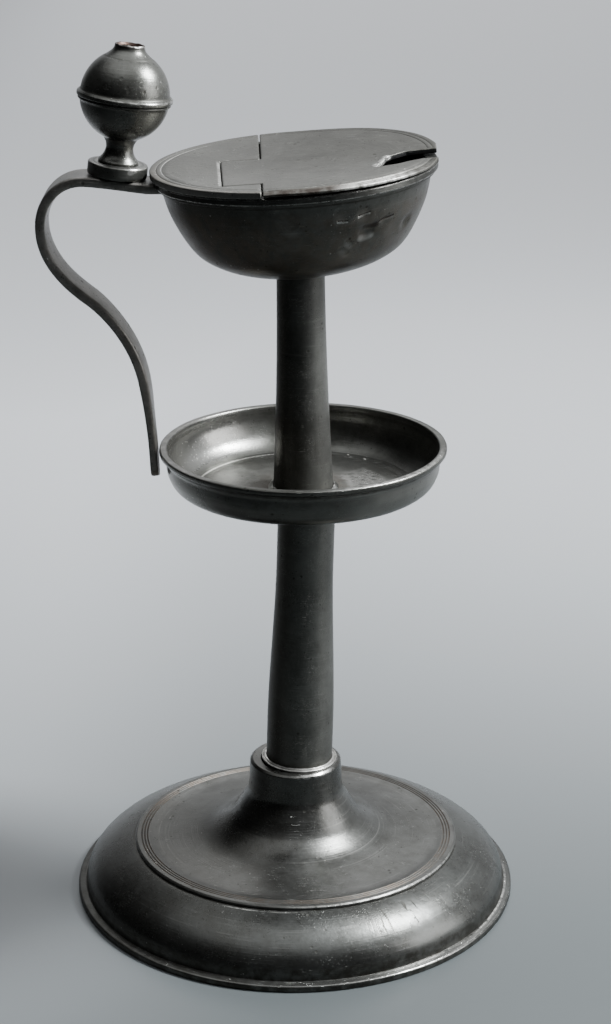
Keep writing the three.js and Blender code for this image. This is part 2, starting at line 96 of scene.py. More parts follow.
class BaseSizes(bpy.types.PropertyGroup):
    flange_radius: length("Flange radius", (SKIRT_HIGH.x - SKIRT_LOW.x) / 2 / MM, "Outside of the flange")
    flange_width: length("Flange width", 2.8, "How far the flange stands out from the dome")
    flange_edge: length("Flange edge", 2.0, "Height of the flange at its edge")
    flange_rise: length("Flange rise", 1.3, "Slope of the flange up to the dome")
    flange_inset: length("Flange inset", 2.6, "Width of the flange inside the foot of the dome")
    skirt_height: length("Skirt height", (SKIRT_HIGH.z - SKIRT_LOW.z) / MM, "Height of the domed skirt")
    skirt_wall: length("Skirt wall", 1.8, "Thickness of the skirt")
    ledge_width: length("Ledge width", 3.2, "Ledge under the edge of the plate")
    plate_radius: length("Plate radius", 51.6, "Outside of the plate set into the skirt")
    plate_lip: length("Plate edge", 0.9, "Height of the plate's edge")
    plate_flat: length("Plate flat", 7.0, "Width of the plate's flat border")
    plate_wall: length("Plate wall", 1.5, "Thickness of the plate")
    line_step: length("Line spacing", 0.9, "Distance between the incised lines")
    line_inset: length("Line inset", 2.1, "Outermost incised line from the edge")
    line_depth: length("Line depth", 0.22, "Depth of the incised lines")
    collar_height: length("Collar height", 25.9, "Height of the trumpet and collar above the plate")
    collar_wall: length("Collar wall", 3.75, "Thickness of the collar round the stem")
    collar_lip: length("Collar lip", 1.6, "Rounded top of the collar")
    throat_flare: length("Throat flare", 0.7, "How much wider the throat is than the collar")
    collar_shift: length("Collar shift", 0.2, "Sideways place of the plate on the skirt")
    solder_gap: length("Joint", 0.3, "Room left for a soldered joint")
    fit_gap: length("Fit", 0.3, "Room left round a plugged stem")


class StemSizes(bpy.types.PropertyGroup):
    lower_foot: length("Lower foot radius", 10.45, "Lower stem at the collar")
    lower_top: length("Lower top radius", 8.8, "Lower stem under the pan")
    lower_length: length("Lower length", 89.3, "Lower stem above the collar")
    plug: length("Plug", 7.0, "Stem inside the collar")
    wall: length("Wall", 1.4, "Thickness of both stems")
    lower_lean: angle("Lower lean", 1.6, "Lean of the lower stem")
    lower_shift: length("Lower shift", 1.0, "Sideways place of the lower stem")
    ring_width: length("Seat ring width", 1.2, "Bright ring where the stem leaves the collar")
    ring_height: length("Seat ring height", 0.7, "Height of the bright ring")
    upper_foot: length("Upper foot radius", 9.2, "Upper stem on the pan floor")
    upper_top: length("Upper top radius", 7.2, "Upper stem under the bowl")
    upper_length: length("Upper length", 68.05, "Upper stem from pan to bowl")
    upper_lean: angle("Upper lean", -0.7, "Lean of the upper stem")
    upper_shift: length("Upper shift", 0.0, "Sideways place of the upper stem")
    solder_width: length("Solder width", 1.6, "Solder run round the upper stem's foot")
    solder_height: length("Solder height", 1.3, "Height of the solder run")


class PanSizes(bpy.types.PropertyGroup):
    radius: length("Radius", 43.6, "Outside of the rolled rim")
    depth: length("Depth", 15.3, "Depth of the pan")
    wall: length("Floor", 1.6, "Thickness of the floor")
    rim_width: length("Rim width", 2.4, "Width of the rolled rim")
    rim_drop: length("Rim drop", 2.2, "Height of the rolled rim")
    floor_radius: length("Floor radius", 33.0, "Turned circle where the floor meets the wall")
    flat_radius: length("Flat radius", 15.0, "Flat middle of the underside")
    lean: angle("Lean", -0.4, "Lean of the pan")
    shift: length("Shift", -1.1, "Sideways place of the pan")


class BowlSizes(bpy.types.PropertyGroup):
    radius: length("Radius", 39.4, "Wall under the rim band")
    depth: length("Depth", 30.75, "Depth of the bowl")
    wall: length("Wall", 1.6, "Thickness of the bowl")
    band_width: length("Band width", 2.0, "How far the rim band stands out")
    band_height: length("Band height", 3.2, "Height of the rim band")
    lean: angle("Lean", -3.8, "Sideways lean of the bowl")
    tip: angle("Tip", 0.8, "Forward tip of the bowl")
    shift: length("Shift", 0.5, "Sideways place of the bowl")
    lid_overhang: length("Lid overhang", 0.9, "How far the lid stands out over the band")
    lid_thickness: length("Lid thickness", 1.7, "Thickness of the lid")
    lid_line_inset: length("Lid line inset", 1.9, "Outer incised line from the lid's edge")
    lid_line_step: length("Lid line spacing", 1.6, "Distance between the two incised lines")
    joint_line: length("Joint line", -10.0, "Cut between the lid halves")
    joint_gap: length("Joint gap", 0.4, "Width of the cut")
    pin_radius: length("Pin radius", 0.8, "Hinge pin")
    pin_room: length("Pin clearance", 0.15, "Room round the pin")
    knuckle_radius: length("Knuckle radius", 2.1, "Barrels round the pin")
    pin_setback: length("Pin setback", 6.0, "Pin behind the joint line")
    tongue_width: length("Tongue width", 32.8, "Hinge tongue of the flap")
    tongue_reach: length("Tongue reach", 11.8, "How far the tongue reaches into the fixed half")
    tongue_offset: length("Tongue offset", -12.8, "Sideways place of the tongue")
    ear_length: length("Ear length", 2.8, "Barrels of the fixed half")
    pin_overhang: length("Pin overhang", 0.4, "Pin beyond the ears")
    back_lift: length("Back lift", 1.0, "How far the flap has warped up at its back")
    front_lift: length("Front lift", 0.3, "How far the flap has warped up at its front")
    cut_skew: share("Cut skew", 0.030, "How far the cut runs off square")
    tongue_skew: share("Tongue skew", 0.054, "How far the end of the tongue runs off square")


class HandleSizes(bpy.types.PropertyGroup):
    thickness: length("Strap thickness", 2.6, "Thickness of the strap")
    width: length("Strap width", 14.0, "Width at the bowl")
    tip_width: length("Tip width", 9.0, "Width at the lower end")
    rise: length("Rise", 2.4, "Crest above the foot of the rim band")
    reach: length("Reach", 35.2, "From the bowl to the back of the handle")
    sway: length("Sway", 36.0, "From the crest down to the inward bend")
    waist: length("Waist", 21.6, "Height above the pan where the strap turns upright")
    flare: length("Flare", 2.6, "How far the waist stands out from the pan")
    tail: length("Tail", 9.5, "Strap below the top of the pan")
    taper_drop: length("Taper drop", 20.0, "From the bowl down to where the strap narrows")
    entry: length("Entry", 1.6, "Strap end inside the rim of the bowl")
    knop_space: length("Knop space", 1.4, "From the lid to the knop's foot")
    foot_radius: length("Knop foot radius", 8.75, "Disc on the strap")
    foot_height: length("Knop foot height", 3.6, "Height of the disc")
    neck_radius: length("Neck radius", 4.0, "Neck under the ball")
    neck_height: length("Neck height", 6.0, "Height of the neck")
    neck_flare: length("Neck flare", 1.9, "Foot of the neck")
    ball_radius: length("Ball radius", 13.0, "Hollow ball")
    ball_wall: length("Ball wall", 1.3, "Thickness of the ball")
    ball_top: length("Ball top", 13.4, "Height of its upper half")
    bead: length("Bead radius", 0.9, "Bead round the ball")
    finial_radius: length("Finial radius", 4.3, "Broken neck on the ball")
    finial_height: length("Finial height", 2.4, "Height of the broken neck")
    finial_wall: length("Finial wall", 1.1, "Thickness of the broken neck")
    core_length: length("Core length", 5.0, "Corroded core inside the neck")
    core_drop: length("Core drop", 0.9, "Core below the broken edge")


class FinishTones(bpy.types.PropertyGroup):
    pewter: colour("Pewter", (0.130, 0.130, 0.119), "Dull grey of the turned metal")
    skirt: colour("Skirt", (0.108, 0.110, 0.104), "Cooler grey of the skirt")
    plate: colour("Plate", (0.104, 0.104, 0.098), "Darker grey of the plate")
    bowl: colour("Bowl", (0.128, 0.128, 0.118), "Grey of the bowl")
    strap: colour("Strap", (0.26, 0.245, 0.225), "Paler grey of the strap")
    # Tarnish is also the colour of painted shade: faces that point down, the side away from the window and
    # shaded rims mix towards it
    tarnish_and_shade: colour("Tarnish", (0.032, 0.030, 0.025), "Dark tarnish in sheltered places")
    lid: colour("Lid", (0.084, 0.082, 0.073), "Paler and duller grey of the lid")
    # Bright metal is also the colour of painted highlights and sheen on the sides that face the window
    bright: colour("Bright metal", (0.56, 0.55, 0.52), "Worn edges and fresh scratches")
    brown: colour("Brown", (0.105, 0.070, 0.045), "Brown stains beside edges and lines")
    rust: colour("Rust", (0.085, 0.048, 0.036), "Corroded core")
    dent: colour("Dent", (0.012, 0.012, 0.013), "Shade in dents and creases")
    burnt: colour("Burnt edge", (0.040, 0.032, 0.027), "Stain on the worn lip of the flap")
    broken: colour("Broken edge", (0.045, 0.032, 0.027), "Stain on the broken neck")
    # The floor's tones paint its shade: dark under the lamp, dim in front and on the left, pale far away
    floor: colour("Floor", (0.078, 0.088, 0.090), "Floor under the lamp")
    far_floor: colour("Far floor", (0.70, 0.71, 0.73), "Floor further away")
    floor_grain: colour("Floor grain", (0.2, 0.2, 0.2), "Fine speckle of the floor")
    floor_shade: colour("Floor shade", (0.03, 0.033, 0.035), "Dim floor in front and on the left")


class StageSizes(bpy.types.PropertyGroup):
    floor_radius: length("Floor radius", 9000, "Outer edge of the floor")
    camera_side: length("Camera side", 5.979, "Camera to the right of the lamp's middle")
    camera_back: length("Camera back", 645.811, "Camera in front of the lamp")
    camera_height: length("Camera height", 359.931, "Camera above the floor")
    camera_pitch: angle("Camera pitch", 19.895, "Camera looking down")
    lens: bpy.props.FloatProperty(name="Lens", description="Focal length in millimetres", default=78.816)


class LampSettings(bpy.types.PropertyGroup):
    base: bpy.props.PointerProperty(type=BaseSizes, name="Base", description="Skirt and plate")
    stems: bpy.props.PointerProperty(type=StemSizes, name="Stems", description="Both stems and solder")
    pan: bpy.props.PointerProperty(type=PanSizes, name="Pan", description="Drip pan")
    bowl: bpy.props.PointerProperty(type=BowlSizes, name="Bowl", description="Bowl, lid and hinge")
    handle: bpy.props.PointerProperty(type=HandleSizes, name="Handle", description="Strap and knop")
    finish: bpy.props.PointerProperty(type=FinishTones, name="Finish", description="Colours")
    stage: bpy.props.PointerProperty(type=StageSizes, name="Stage", description="Floor and camera")


def own_names(group):
    """Names of a group's own properties"""
    return [name for name in group.bl_rna.properties.keys() if name not in ("rna_type", "name")]


def read(group):
    """A property group as plain numbers: lengths in millimetres, angles in radians"""
    found = types.SimpleNamespace()
    for name in own_names(group):
        value = getattr(group, name)
        in_metres = group.bl_rna.properties[name].unit == "LENGTH"
        setattr(found, name, value / MM if in_metres else value)
    return found


def settings():
    """All sizes and colours of the scene's lamp"""
    lamp = bpy.context.scene.oil_lamp
    return types.SimpleNamespace(**{part: read(getattr(lamp, part)) for part in own_names(lamp)})


# Frames, each carried by the piece below it

def step(x, z, lean=0.0, tip=0.0):
    """A move sideways and up, then a lean to the side and a tip forward"""
    turned = Matrix.Rotation(tip, 4, "X") @ Matrix.Rotation(lean, 4, "Y")
    return Matrix.Translation((x, 0, z)) @ turned


def frames(s):
    """Places and leans of all pieces, in millimetres"""
    base, stems, pan, bowl = s.base, s.stems, s.pan, s.bowl
    middle = (SKIRT_LOW.x + SKIRT_HIGH.x) / 2 / MM
    collar_top = base.plate_lip + base.collar_height
    skirt = step(middle, 0)
    plate = skirt @ step(base.collar_shift, base.skirt_height + base.solder_gap)
    lower = plate @ step(stems.lower_shift, collar_top - stems.plug, stems.lower_lean)
    pan_frame = lower @ step(pan.shift, stems.plug + stems.lower_length, pan.lean - stems.lower_lean)
    upper = pan_frame @ step(stems.upper_shift, pan.wall, stems.upper_lean - pan.lean)
    bowl_frame = upper @ step(bowl.shift, stems.upper_length, bowl.lean - stems.upper_lean, bowl.tip)
    lid = bowl_frame @ step(0, bowl.depth + base.fit_gap)
    return types.SimpleNamespace(
        skirt=skirt, plate=plate, lower=lower, pan=pan_frame, upper=upper, bowl=bowl_frame, lid=lid)


# Outlines: radius and height, as two-part vectors

def heading(around):
    """The unit vector at an angle"""
    return Vector((math.cos(around), math.sin(around)))


def cut_runs(points, reach, ring=False):
    """The same outline with its long runs cut into short steps"""
    result = []
    for i, point in enumerate(points):
        result.append(point)
        if ring or i + 1 < len(points):
            following = points[(i + 1) % len(points)]
            cuts = int((following - point).length / reach)
            result += [point.lerp(following, k / (cuts + 1)) for k in range(1, cuts + 1)]
    return result


# Half of a corner's angle from which it counts as straight, the share of a run that an arc may take,
# and the longest step along an arc
NEARLY_STRAIGHT = math.radians(86)
RUN_SHARE = 0.45
ARC_STEP = math.radians(18)


def round_corner(before, corner, after, radius):
    """Points of the arc that rounds one corner, with one more on each side to hold the shading"""
    to_before, to_after = before - corner, after - corner
    shorter = min(to_before.length, to_after.length)
    to_before.normalize()
    to_after.normalize()
    half = to_before.angle(to_after) / 2
    if half > NEARLY_STRAIGHT:
        return [corner]
    reach = min(radius / math.tan(half), RUN_SHARE * shorter)
    arc_radius = reach * math.tan(half)
    centre = corner + (to_before + to_after).normalized() * (arc_radius / math.sin(half))
    first, last = corner + to_before * reach - centre, corner + to_after * reach - centre
    start = math.atan2(first.y, first.x)
    sweep = (math.atan2(last.y, last.x) - start + math.pi) % math.tau - math.pi
    count = max(2, math.ceil(abs(sweep) / ARC_STEP))
    extra = min(0.2, 0.04 * shorter)
    arc = [centre + arc_radius * heading(start + sweep * k / count) for k in range(count + 1)]
    return [corner + to_before * (reach + extra), *arc, corner + to_after * (reach + extra)]


def outline(corners, reach=1.5, ring=False):
    """Outline through corners of radius, height and rounding"""
    places = [Vector(corner[:2]) for corner in corners]
    points = []
    for i, corner in enumerate(corners):
        rounding = corner[2] if len(corner) > 2 else 0
        end = not ring and i in (0, len(corners) - 1)
        if rounding and not end:
            points += round_corner(places[i - 1], places[i], places[(i + 1) % len(places)], rounding)
        else:
            points.append(places[i])
    return cut_runs(points, reach, ring)


def spline(points, steps):
    """A smooth curve through points, as a list of radius and height"""
    result = []
    for i in range(len(points) - 1):
        a, b = Vector(points[max(i - 1, 0)]), Vector(points[i])
        c, d = Vector(points[i + 1]), Vector(points[min(i + 2, len(points) - 1)])
        for k in range(steps):
            t = k / steps
            way_in, way_out = (c - a) / 2, (d - b) / 2
            place = ((2 * t ** 3 - 3 * t ** 2 + 1) * b + (t ** 3 - 2 * t ** 2 + t) * way_in
                     + (-2 * t ** 3 + 3 * t ** 2) * c + (t ** 3 - t ** 2) * way_out)
            result.append(tuple(place))
    return result + [tuple(points[-1])]


def offset(points, wall):
    """An outline moved by a wall thickness, to the left of the way it runs"""
    result = []
    for i, point in enumerate(points):
        before, after = Vector(points[max(i - 1, 0)]), Vector(points[min(i + 1, len(points) - 1)])
        along = (after - before).normalized()
        result.append((max(point[0] - along.y * wall, 0), point[1] + along.x * wall))
    return result


def groove(radius, height, width, depth):
    """Corners of a fine turned line in a level surface, from the outside in"""
    low = height - depth
    return [(radius + width, height, 0.06), (radius, low, 0.08), (radius - width, height, 0.06)]


def look_up(places, known, wanted, value, beyond):
    """The wanted column of a table where the known column has a value, or else what lies beyond"""
    for here, following in zip(places, places[1:]):
        if here[known] <= value <= following[known]:
            rise, run = following[wanted] - here[wanted], following[known] - here[known]
            return here[wanted] + rise * (value - here[known]) / run
    return beyond


def smooth(value, low, high):
    """0 at low and 1 at high, with a soft step between"""
    t = min(max((value - low) / (high - low), 0), 1)
    return t * t * (3 - 2 * t)


# Meshes

def turn(points, segments, ring=False):
    """Points and faces of an outline turned round the axis"""
    corners, rows = [], []
    for place in points:
        if place.x < 1e-6:
            rows.append([len(corners)])
            corners.append(Vector((0, 0, place.y)))
            continue
        rows.append(range(len(corners), len(corners) + segments))
        for k in range(segments):
            around = math.tau * k / segments
            corners.append(Vector((place.x * math.cos(around), place.x * math.sin(around), place.y)))
    faces = []
    following = rows[1:] + ([rows[0]] if ring else [])
    for low, high in zip(rows, following):
        for k in range(segments):
            after = (k + 1) % segments
            if len(low) == 1:
                faces.append((low[0], high[after], high[k]))
            elif len(high) == 1:
                faces.append((low[k], low[after], high[0]))
            else:
                faces.append((low[k], low[after], high[after], high[k]))
    return corners, faces


def hand_made(point, amount, size):
    """Slow waves that a turned and much handled surface has"""
    return point + noise.noise_vector(point / size) * amount


def ring_faces(rows, count):
    """Faces between rows that have the same number of points each"""
    return [(row * count + k, row * count + after, (row + 1) * count + after, (row + 1) * count + k)
            for row in range(rows - 1) for k, after in zip(range(count), (*range(1, count), 0))]


def dent(point, centre, radius, depth, way):
    """A point pushed in near a centre"""
    near = (point - centre).length / radius
    return point + way * (depth * (1 - near ** 2) ** 2) if near < 1 else point


def make_piece(name, corners, faces, place, node, material, body="lamp", sharp=None):
    """A closed mesh in a place that stands for a node, rides on a body and takes a finish"""
    mesh = bpy.data.meshes.new(name)
    mesh.from_pydata([(place @ point) * MM for point in corners], [], faces)
    work = bmesh.new()
    work.from_mesh(mesh)
    if work.calc_volume(signed=True) < 0:
        bmesh.ops.reverse_faces(work, faces=work.faces)
    work.to_mesh(mesh)
    work.free()
    mesh.shade_smooth()
    if sharp:
        mesh.set_sharp_from_angle(angle=math.radians(sharp))
    mesh.materials.append(material)
    piece = bpy.data.objects.new(name, mesh)
    bpy.context.scene.collection.objects.link(piece)
    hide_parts(node)
    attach(piece, body)


def turned_piece(name, points, place, node, material, segments, ring=False, shape=None):
    """A turned outline as a piece, with its points moved by a shape first"""
    corners, faces = turn(points, segments, ring)
    if shape:
        corners = [shape(point) for point in corners]
    make_piece(name, corners, faces, place, node, material)


# Shader maths

class Value:
    """A socket whose sums and products add nodes: Math for numbers, Vector Math for vectors"""

    def __init__(self, graph, socket):
        self.graph = graph
        self.socket = socket

    def is_vector(self):
        return self.socket.type in ("VECTOR", "RGBA")

    def combine(self, operation, first, second):
        kind = "ShaderNodeMath"
        if any(isinstance(item, Value) and item.is_vector() for item in (first, second)):
            kind = "ShaderNodeVectorMath"
            if operation == "MULTIPLY" and not (isinstance(second, Value) and second.is_vector()):
                return self.graph.node(kind, {"operation": "SCALE"}, {0: first, 3: second})
        return self.graph.node(kind, {"operation": operation}, {0: first, 1: second})

    def __add__(self, other):
        return self.combine("ADD", self, other)

    __radd__ = __add__

    def __sub__(self, other):
        return self.combine("SUBTRACT", self, other)

    def __rsub__(self, other):
        return self.combine("SUBTRACT", other, self)

    def __mul__(self, other):
        return self.combine("MULTIPLY", self, other)

    __rmul__ = __mul__

    def __truediv__(self, other):
        return self.combine("DIVIDE", self, other)

    def __pow__(self, other):
        return self.combine("POWER", self, other)

    def dot(self, other):
        return self.measure("DOT_PRODUCT", {0: self, 1: other}, "Value")

    def length(self):
        return self.measure("LENGTH", {0: self}, "Value")

    def normal(self):
        return self.measure("NORMALIZE", {0: self}, "Vector")

    def measure(self, operation, sockets, output):
        return self.graph.node("ShaderNodeVectorMath", {"operation": operation}, sockets, output)

    def held(self):
        """The value kept between 0 and 1"""
        options = {"operation": "ADD", "use_clamp": True}
        return self.graph.node("ShaderNodeMath", options, {0: self, 1: 0.0})

    def smooth(self, low, high):
        """0 below low and 1 above high, with a soft step between, or turned round if low is higher"""
        return self.graph.node(
            "ShaderNodeMapRange", {"interpolation_type": "SMOOTHSTEP"}, {0: self, 1: low, 2: high})

    def parts(self):
        """The three parts of a vector"""
        split = self.graph.node("ShaderNodeSeparateXYZ", {}, {0: self}).socket.node
        return [Value(self.graph, socket) for socket in split.outputs]


class Graph:
    """The nodes of one material or world"""

    def __init__(self, owner):
        owner.use_nodes = True
        self.owner = owner
        self.tree = owner.node_tree
        self.tree.nodes.clear()

    def node(self, kind, options, sockets, output=0):
        """Adds a node of a kind: its options are set first, then its sockets get values or links"""
        made = self.tree.nodes.new(kind)
        for name, value in options.items():
            setattr(made, name, value)
        for name, value in sockets.items():
            if isinstance(value, Value):
                self.tree.links.new(value.socket, made.inputs[name])
            else:
                made.inputs[name].default_value = value
        return Value(self, made.outputs[output]) if len(made.outputs) else made

    def vector(self, x, y, z):
        return self.node("ShaderNodeCombineXYZ", {}, {0: x, 1: y, 2: z})

    def mix(self, amount, first, second):
        """The colour first, turned into second by an amount from 0 to 1"""
        tones = {0: amount, 6: padded(first), 7: padded(second)}
        return self.node("ShaderNodeMix", {"data_type": "RGBA"}, tones, 2)

    def noise(self, place, size, detail=2.0, roughness=0.5):
        """Soft noise whose features are about as large as the size"""
        sockets = {"Vector": place, "Scale": 1 / size, "Detail": detail, "Roughness": roughness}
        return self.node("ShaderNodeTexNoise", {}, sockets)

    def cells(self, place, size):
        """Distance to the nearest of points scattered about a size apart"""
        sockets = {"Vector": place, "Scale": 1 / size}
        return self.node("ShaderNodeTexVoronoi", {"feature": "F1"}, sockets, "Distance")

    def output(self, kind, surface):
        """Ends the graph and gives its owner"""
        self.node(kind, {}, {"Surface": surface})
        return self.owner

    def place(self, matrix):
        """Position on the piece in millimetres, in its own frame, wherever the piece has moved to"""
        objects = self.node("ShaderNodeTexCoord", {}, {}, "Object")
        sockets = {
            "Vector": objects,
            "Location": matrix.translation * MM,
            "Rotation": matrix.to_euler(),
            "Scale": (MM, MM, MM),
        }
        return self.node("ShaderNodeMapping", {"vector_type": "TEXTURE"}, sockets)


def padded(tone):
    """A colour with its fourth part"""
    return tone if isinstance(tone, Value) else (*tone[:3], 1)


# Way from the window to the side where the painted shade is darkest
AWAY_FROM_WINDOW = (-0.94, -0.34, 0.0)


class Metal:
    """A metal finish being made: it gathers tone, gloss and relief, and ends in a material"""

    def __init__(self, name, matrix, tone, tones):
        self.graph = Graph(bpy.data.materials.new(name))
        self.tones = tones
        self.spot = self.graph.place(matrix)
        self.x, self.y, self.z = self.spot.parts()
        self.radius = (self.x * self.x + self.y * self.y) ** 0.5
        self.side = self.graph.vector(self.x, self.y, 0.0).normal()
        self.tone = tone
        self.gloss = 0.31
        self.relief = 0.0

    def blotches(self, sizes=(16.0, 4.0, 1.1), strength=0.5):
        """Uneven tarnish at three scales"""
        graph, spot = self.graph, self.spot
        wide = graph.noise(spot, sizes[0], 3, 0.55)
        middle = graph.noise(spot + (31.0, 7.0, 3.0), sizes[1], 3, 0.6)
        fine = graph.noise(spot, sizes[2], 2, 0.6)
        cloud = (wide * 0.5 + middle * 0.35 + fine * 0.15).smooth(0.34, 0.66)
        self.tone = graph.mix((1 - cloud) * strength, self.tone, self.tones.tarnish_and_shade)
        self.gloss = self.gloss + (wide - 0.5) * 0.16 + (fine - 0.5) * 0.10
        self.relief = self.relief + (middle - 0.5) * 0.05 + (fine - 0.5) * 0.02

    def turning(self, depth=0.010, size=0.55, tone=0.16):
        """Fine lines left by the lathe, round the axis"""
        graph = self.graph
        x, y, _ = self.side.parts()
        place = graph.vector(self.radius + x * 0.35, self.z + y * 0.35, x * 0.4)
        lines = graph.noise(place, size, 2, 0.6)
        patches = graph.noise(self.spot, 9.0, 1).smooth(0.35, 0.65)
        self.relief = self.relief + (lines - 0.5) * (patches * depth * 4)
        self.tone = graph.mix((lines.smooth(0.55, 0.8) * patches) * tone, self.tone, self.tones.bright)

    def streaks(self, turn_by, length_mm, width, low, amount, shift=0.0):
        """Straight scratches that lie one way"""
        graph = self.graph
        turned_place = graph.node(
            "ShaderNodeMapping", {"vector_type": "POINT"},
            {"Vector": self.spot + (shift, shift, shift), "Rotation": Euler(turn_by),
             "Scale": (1 / length_mm, 1 / width, 1 / width)})
        lines = graph.noise(turned_place, 1.0, 1, 0.3).smooth(low, low + 0.06)
        thin = lines * graph.noise(self.spot + (shift, 3.0, 9.0), 7.0, 1).smooth(0.45, 0.6)
        self.tone = graph.mix(thin * amount, self.tone, self.tones.bright)
        self.relief = self.relief - thin * 0.03

    def pits(self, size, rarity, depth, seed=0.0):
        """Small dark corrosion pits, seldom and uneven"""
        graph = self.graph
        place = self.spot + (seed, seed * 2, -seed)
        distance = graph.cells(place, size)
        chance = graph.noise(place, size * 2.3, 0).smooth(rarity, rarity + 0.08)
        hole = distance.smooth(0.30, 0.12) * chance
        self.tone = graph.mix(hole * 0.7, self.tone, self.tones.tarnish_and_shade)
        self.relief = self.relief - hole * depth
        self.gloss = self.gloss + hole * 0.3

    def specks(self, size, rarity, amount):
        """Light dust and bare points of metal"""
        graph = self.graph
        place = self.spot + (5.0, 5.0, 5.0)
        chance = graph.noise(place, size * 1.7, 0).smooth(rarity, rarity + 0.05)
        dots = graph.cells(place, size).smooth(0.22, 0.10) * chance
        self.tone = graph.mix(dots * amount, self.tone, self.tones.bright)

    def band(self, value, centre, width):
        """1 where a value is near its centre, falling to 0 at the width"""
        across = value - centre
        return (across * across).smooth(width * width, width * width * 0.1)

    def ring(self, radius, width):
        """A band round the axis"""
        return self.band(self.radius, radius, width)

    def level(self, height, width):
        """A band at a height"""
        return self.band(self.z, height, width)

    def facing_up(self):
        """How far the surface faces up, from -1 to 1"""
        return self.graph.node("ShaderNodeTexCoord", {}, {}, "Normal").parts()[2]

    def toward(self, degrees, spread):
        """1 on the side of the piece that faces a direction, 0 beyond the spread"""
        around, outer, inner = (math.radians(value) for value in (degrees, spread, spread / 3))
        facing = self.side.dot((math.cos(around), math.sin(around), 0.0))
        return facing.smooth(math.cos(outer), math.cos(inner))

    def streak(self, first, last, width):
        """1 along a line between two points in millimetres"""
        first, last = Vector(first), Vector(last)
        way = last - first
        from_first = self.spot - tuple(first)
        along = (from_first.dot(tuple(way)) * (1 / way.length_squared)).held()
        across = (from_first - self.graph.vector(*(along * part for part in way))).length()
        return across.smooth(width, width * 0.3)

    def wear_and_highlight(self, mask, amount):
        """Bright metal in patches under a mask: bare worn metal, and a painted highlight where the mask
        follows the window's light
        """
        self.bright_metal_and_sheen(mask * self.graph.noise(self.spot, 2.2, 2, 0.7).smooth(0.30, 0.62), amount)

    def bright_metal_and_sheen(self, mask, amount, gloss=-0.08):
        """Bright metal all over a mask: bare metal, and painted highlights and sheen where the mask follows
        the light
        """
        self.tone = self.graph.mix(mask * amount, self.tone, self.tones.bright)
        self.gloss = self.gloss + mask * gloss

    def scratches_across(self, degrees, spread, middle, width):
        """A group of dark scratches that run outwards over the skirt"""
        x, y, _ = self.side.parts()
        place = self.graph.vector(x * 62.0, y * 62.0, self.radius * 0.10)
        lines = self.graph.noise(place, 1.0, 1, 0.3).smooth(0.60, 0.68)
        mask = lines * self.toward(degrees, spread) * self.band(self.radius, middle, width)
        self.tone = self.graph.mix(mask * 0.8, self.tone, self.tones.tarnish_and_shade)
        self.relief = self.relief - mask * 0.04

    def stain_and_shade(self, mask, amount, tone=None):
        """Darker tone under a mask: tarnished and brown-stained metal, and painted shade where the mask
        follows the shade
        """
        cloud = self.graph.noise(self.spot, 3.0, 3, 0.6).smooth(0.25, 0.65)
        self.tone = self.graph.mix(mask * cloud * amount, self.tone, tone or self.tones.tarnish_and_shade)
        self.gloss = self.gloss + mask * 0.12

    def mark(self, mask, amount):
        """Painted shade in a dent or crease, with a little relief"""
        self.tone = self.graph.mix(mask * amount, self.tone, self.tones.dent)
        self.relief = self.relief - mask * 0.1

    def shade_facing_down(self, amount=0.45):
        """Painted shade: darker where the surface faces down"""
        mask = self.facing_up().smooth(0.1, -0.6)
        self.tone = self.graph.mix(mask * amount, self.tone, self.tones.tarnish_and_shade)

    def shade_away_from_window(self, amount):
        """Painted shade: a darker tone on the side away from the window"""
        mask = self.side.dot(AWAY_FROM_WINDOW).smooth(0.35, 1.0)
        self.tone = self.graph.mix(mask * amount, self.tone, self.tones.tarnish_and_shade)

    def finish(self, metallic=0.9, edge=1.0):
        """Joins what was gathered to the surface and gives the material"""
        graph = self.graph
        relief = {"Height": self.relief, "Distance": MM, "Strength": 1.0}
        bump = graph.node("ShaderNodeBump", {}, relief)
        surface = graph.node("ShaderNodeBsdfPrincipled", {}, {
            "Base Color": self.tone,
            "Roughness": self.gloss.held(),
            "Metallic": metallic,
            "Specular Tint": (edge, edge, edge, 1),
            "Normal": bump,
        })
        return graph.output("ShaderNodeOutputMaterial", surface)


def turned_pewter(
        name, matrix, tones, tone=None, strength=0.5, gloss=0.29, turning=0.010, shade_away_from_window=0.5):
    """The finish that all turned pieces start from, with painted shade on faces that point down and on the
    side away from the window
    """
    metal = Metal(name, matrix, tone or tones.pewter, tones)
    metal.gloss = gloss
    metal.blotches(strength=strength)
    metal.turning(turning)
    metal.shade_facing_down()
    metal.shade_away_from_window(shade_away_from_window)
    metal.pits(2.0, 0.66, 0.03)
    metal.pits(0.9, 0.64, 0.02, 11.0)
    metal.streaks((0.3, 0.2, 0.5), 9.0, 0.16, 0.71, 0.22)
    metal.streaks((0.9, -0.4, 1.9), 6.0, 0.12, 0.71, 0.20, 17.0)
    return metal


# Base

DOME_STEPS = 26
DOME_BULGE = 1.6


def dome(s, inset):
    """Side of the dome from its foot to the edge of the plate"""
    base = s.base
    crown = base.plate_radius - 0.2
    foot = base.flange_radius - base.flange_width - inset
    low, high = base.flange_edge + base.flange_rise - inset, base.skirt_height - inset
    places = []
    for k in range(DOME_STEPS + 1):
        around = math.pi / 2 * k / DOME_STEPS
        radius = crown + (foot - crown) * max(math.cos(around), 0) ** DOME_BULGE
        places.append((radius, low + (high - low) * math.sin(around)))
    return places


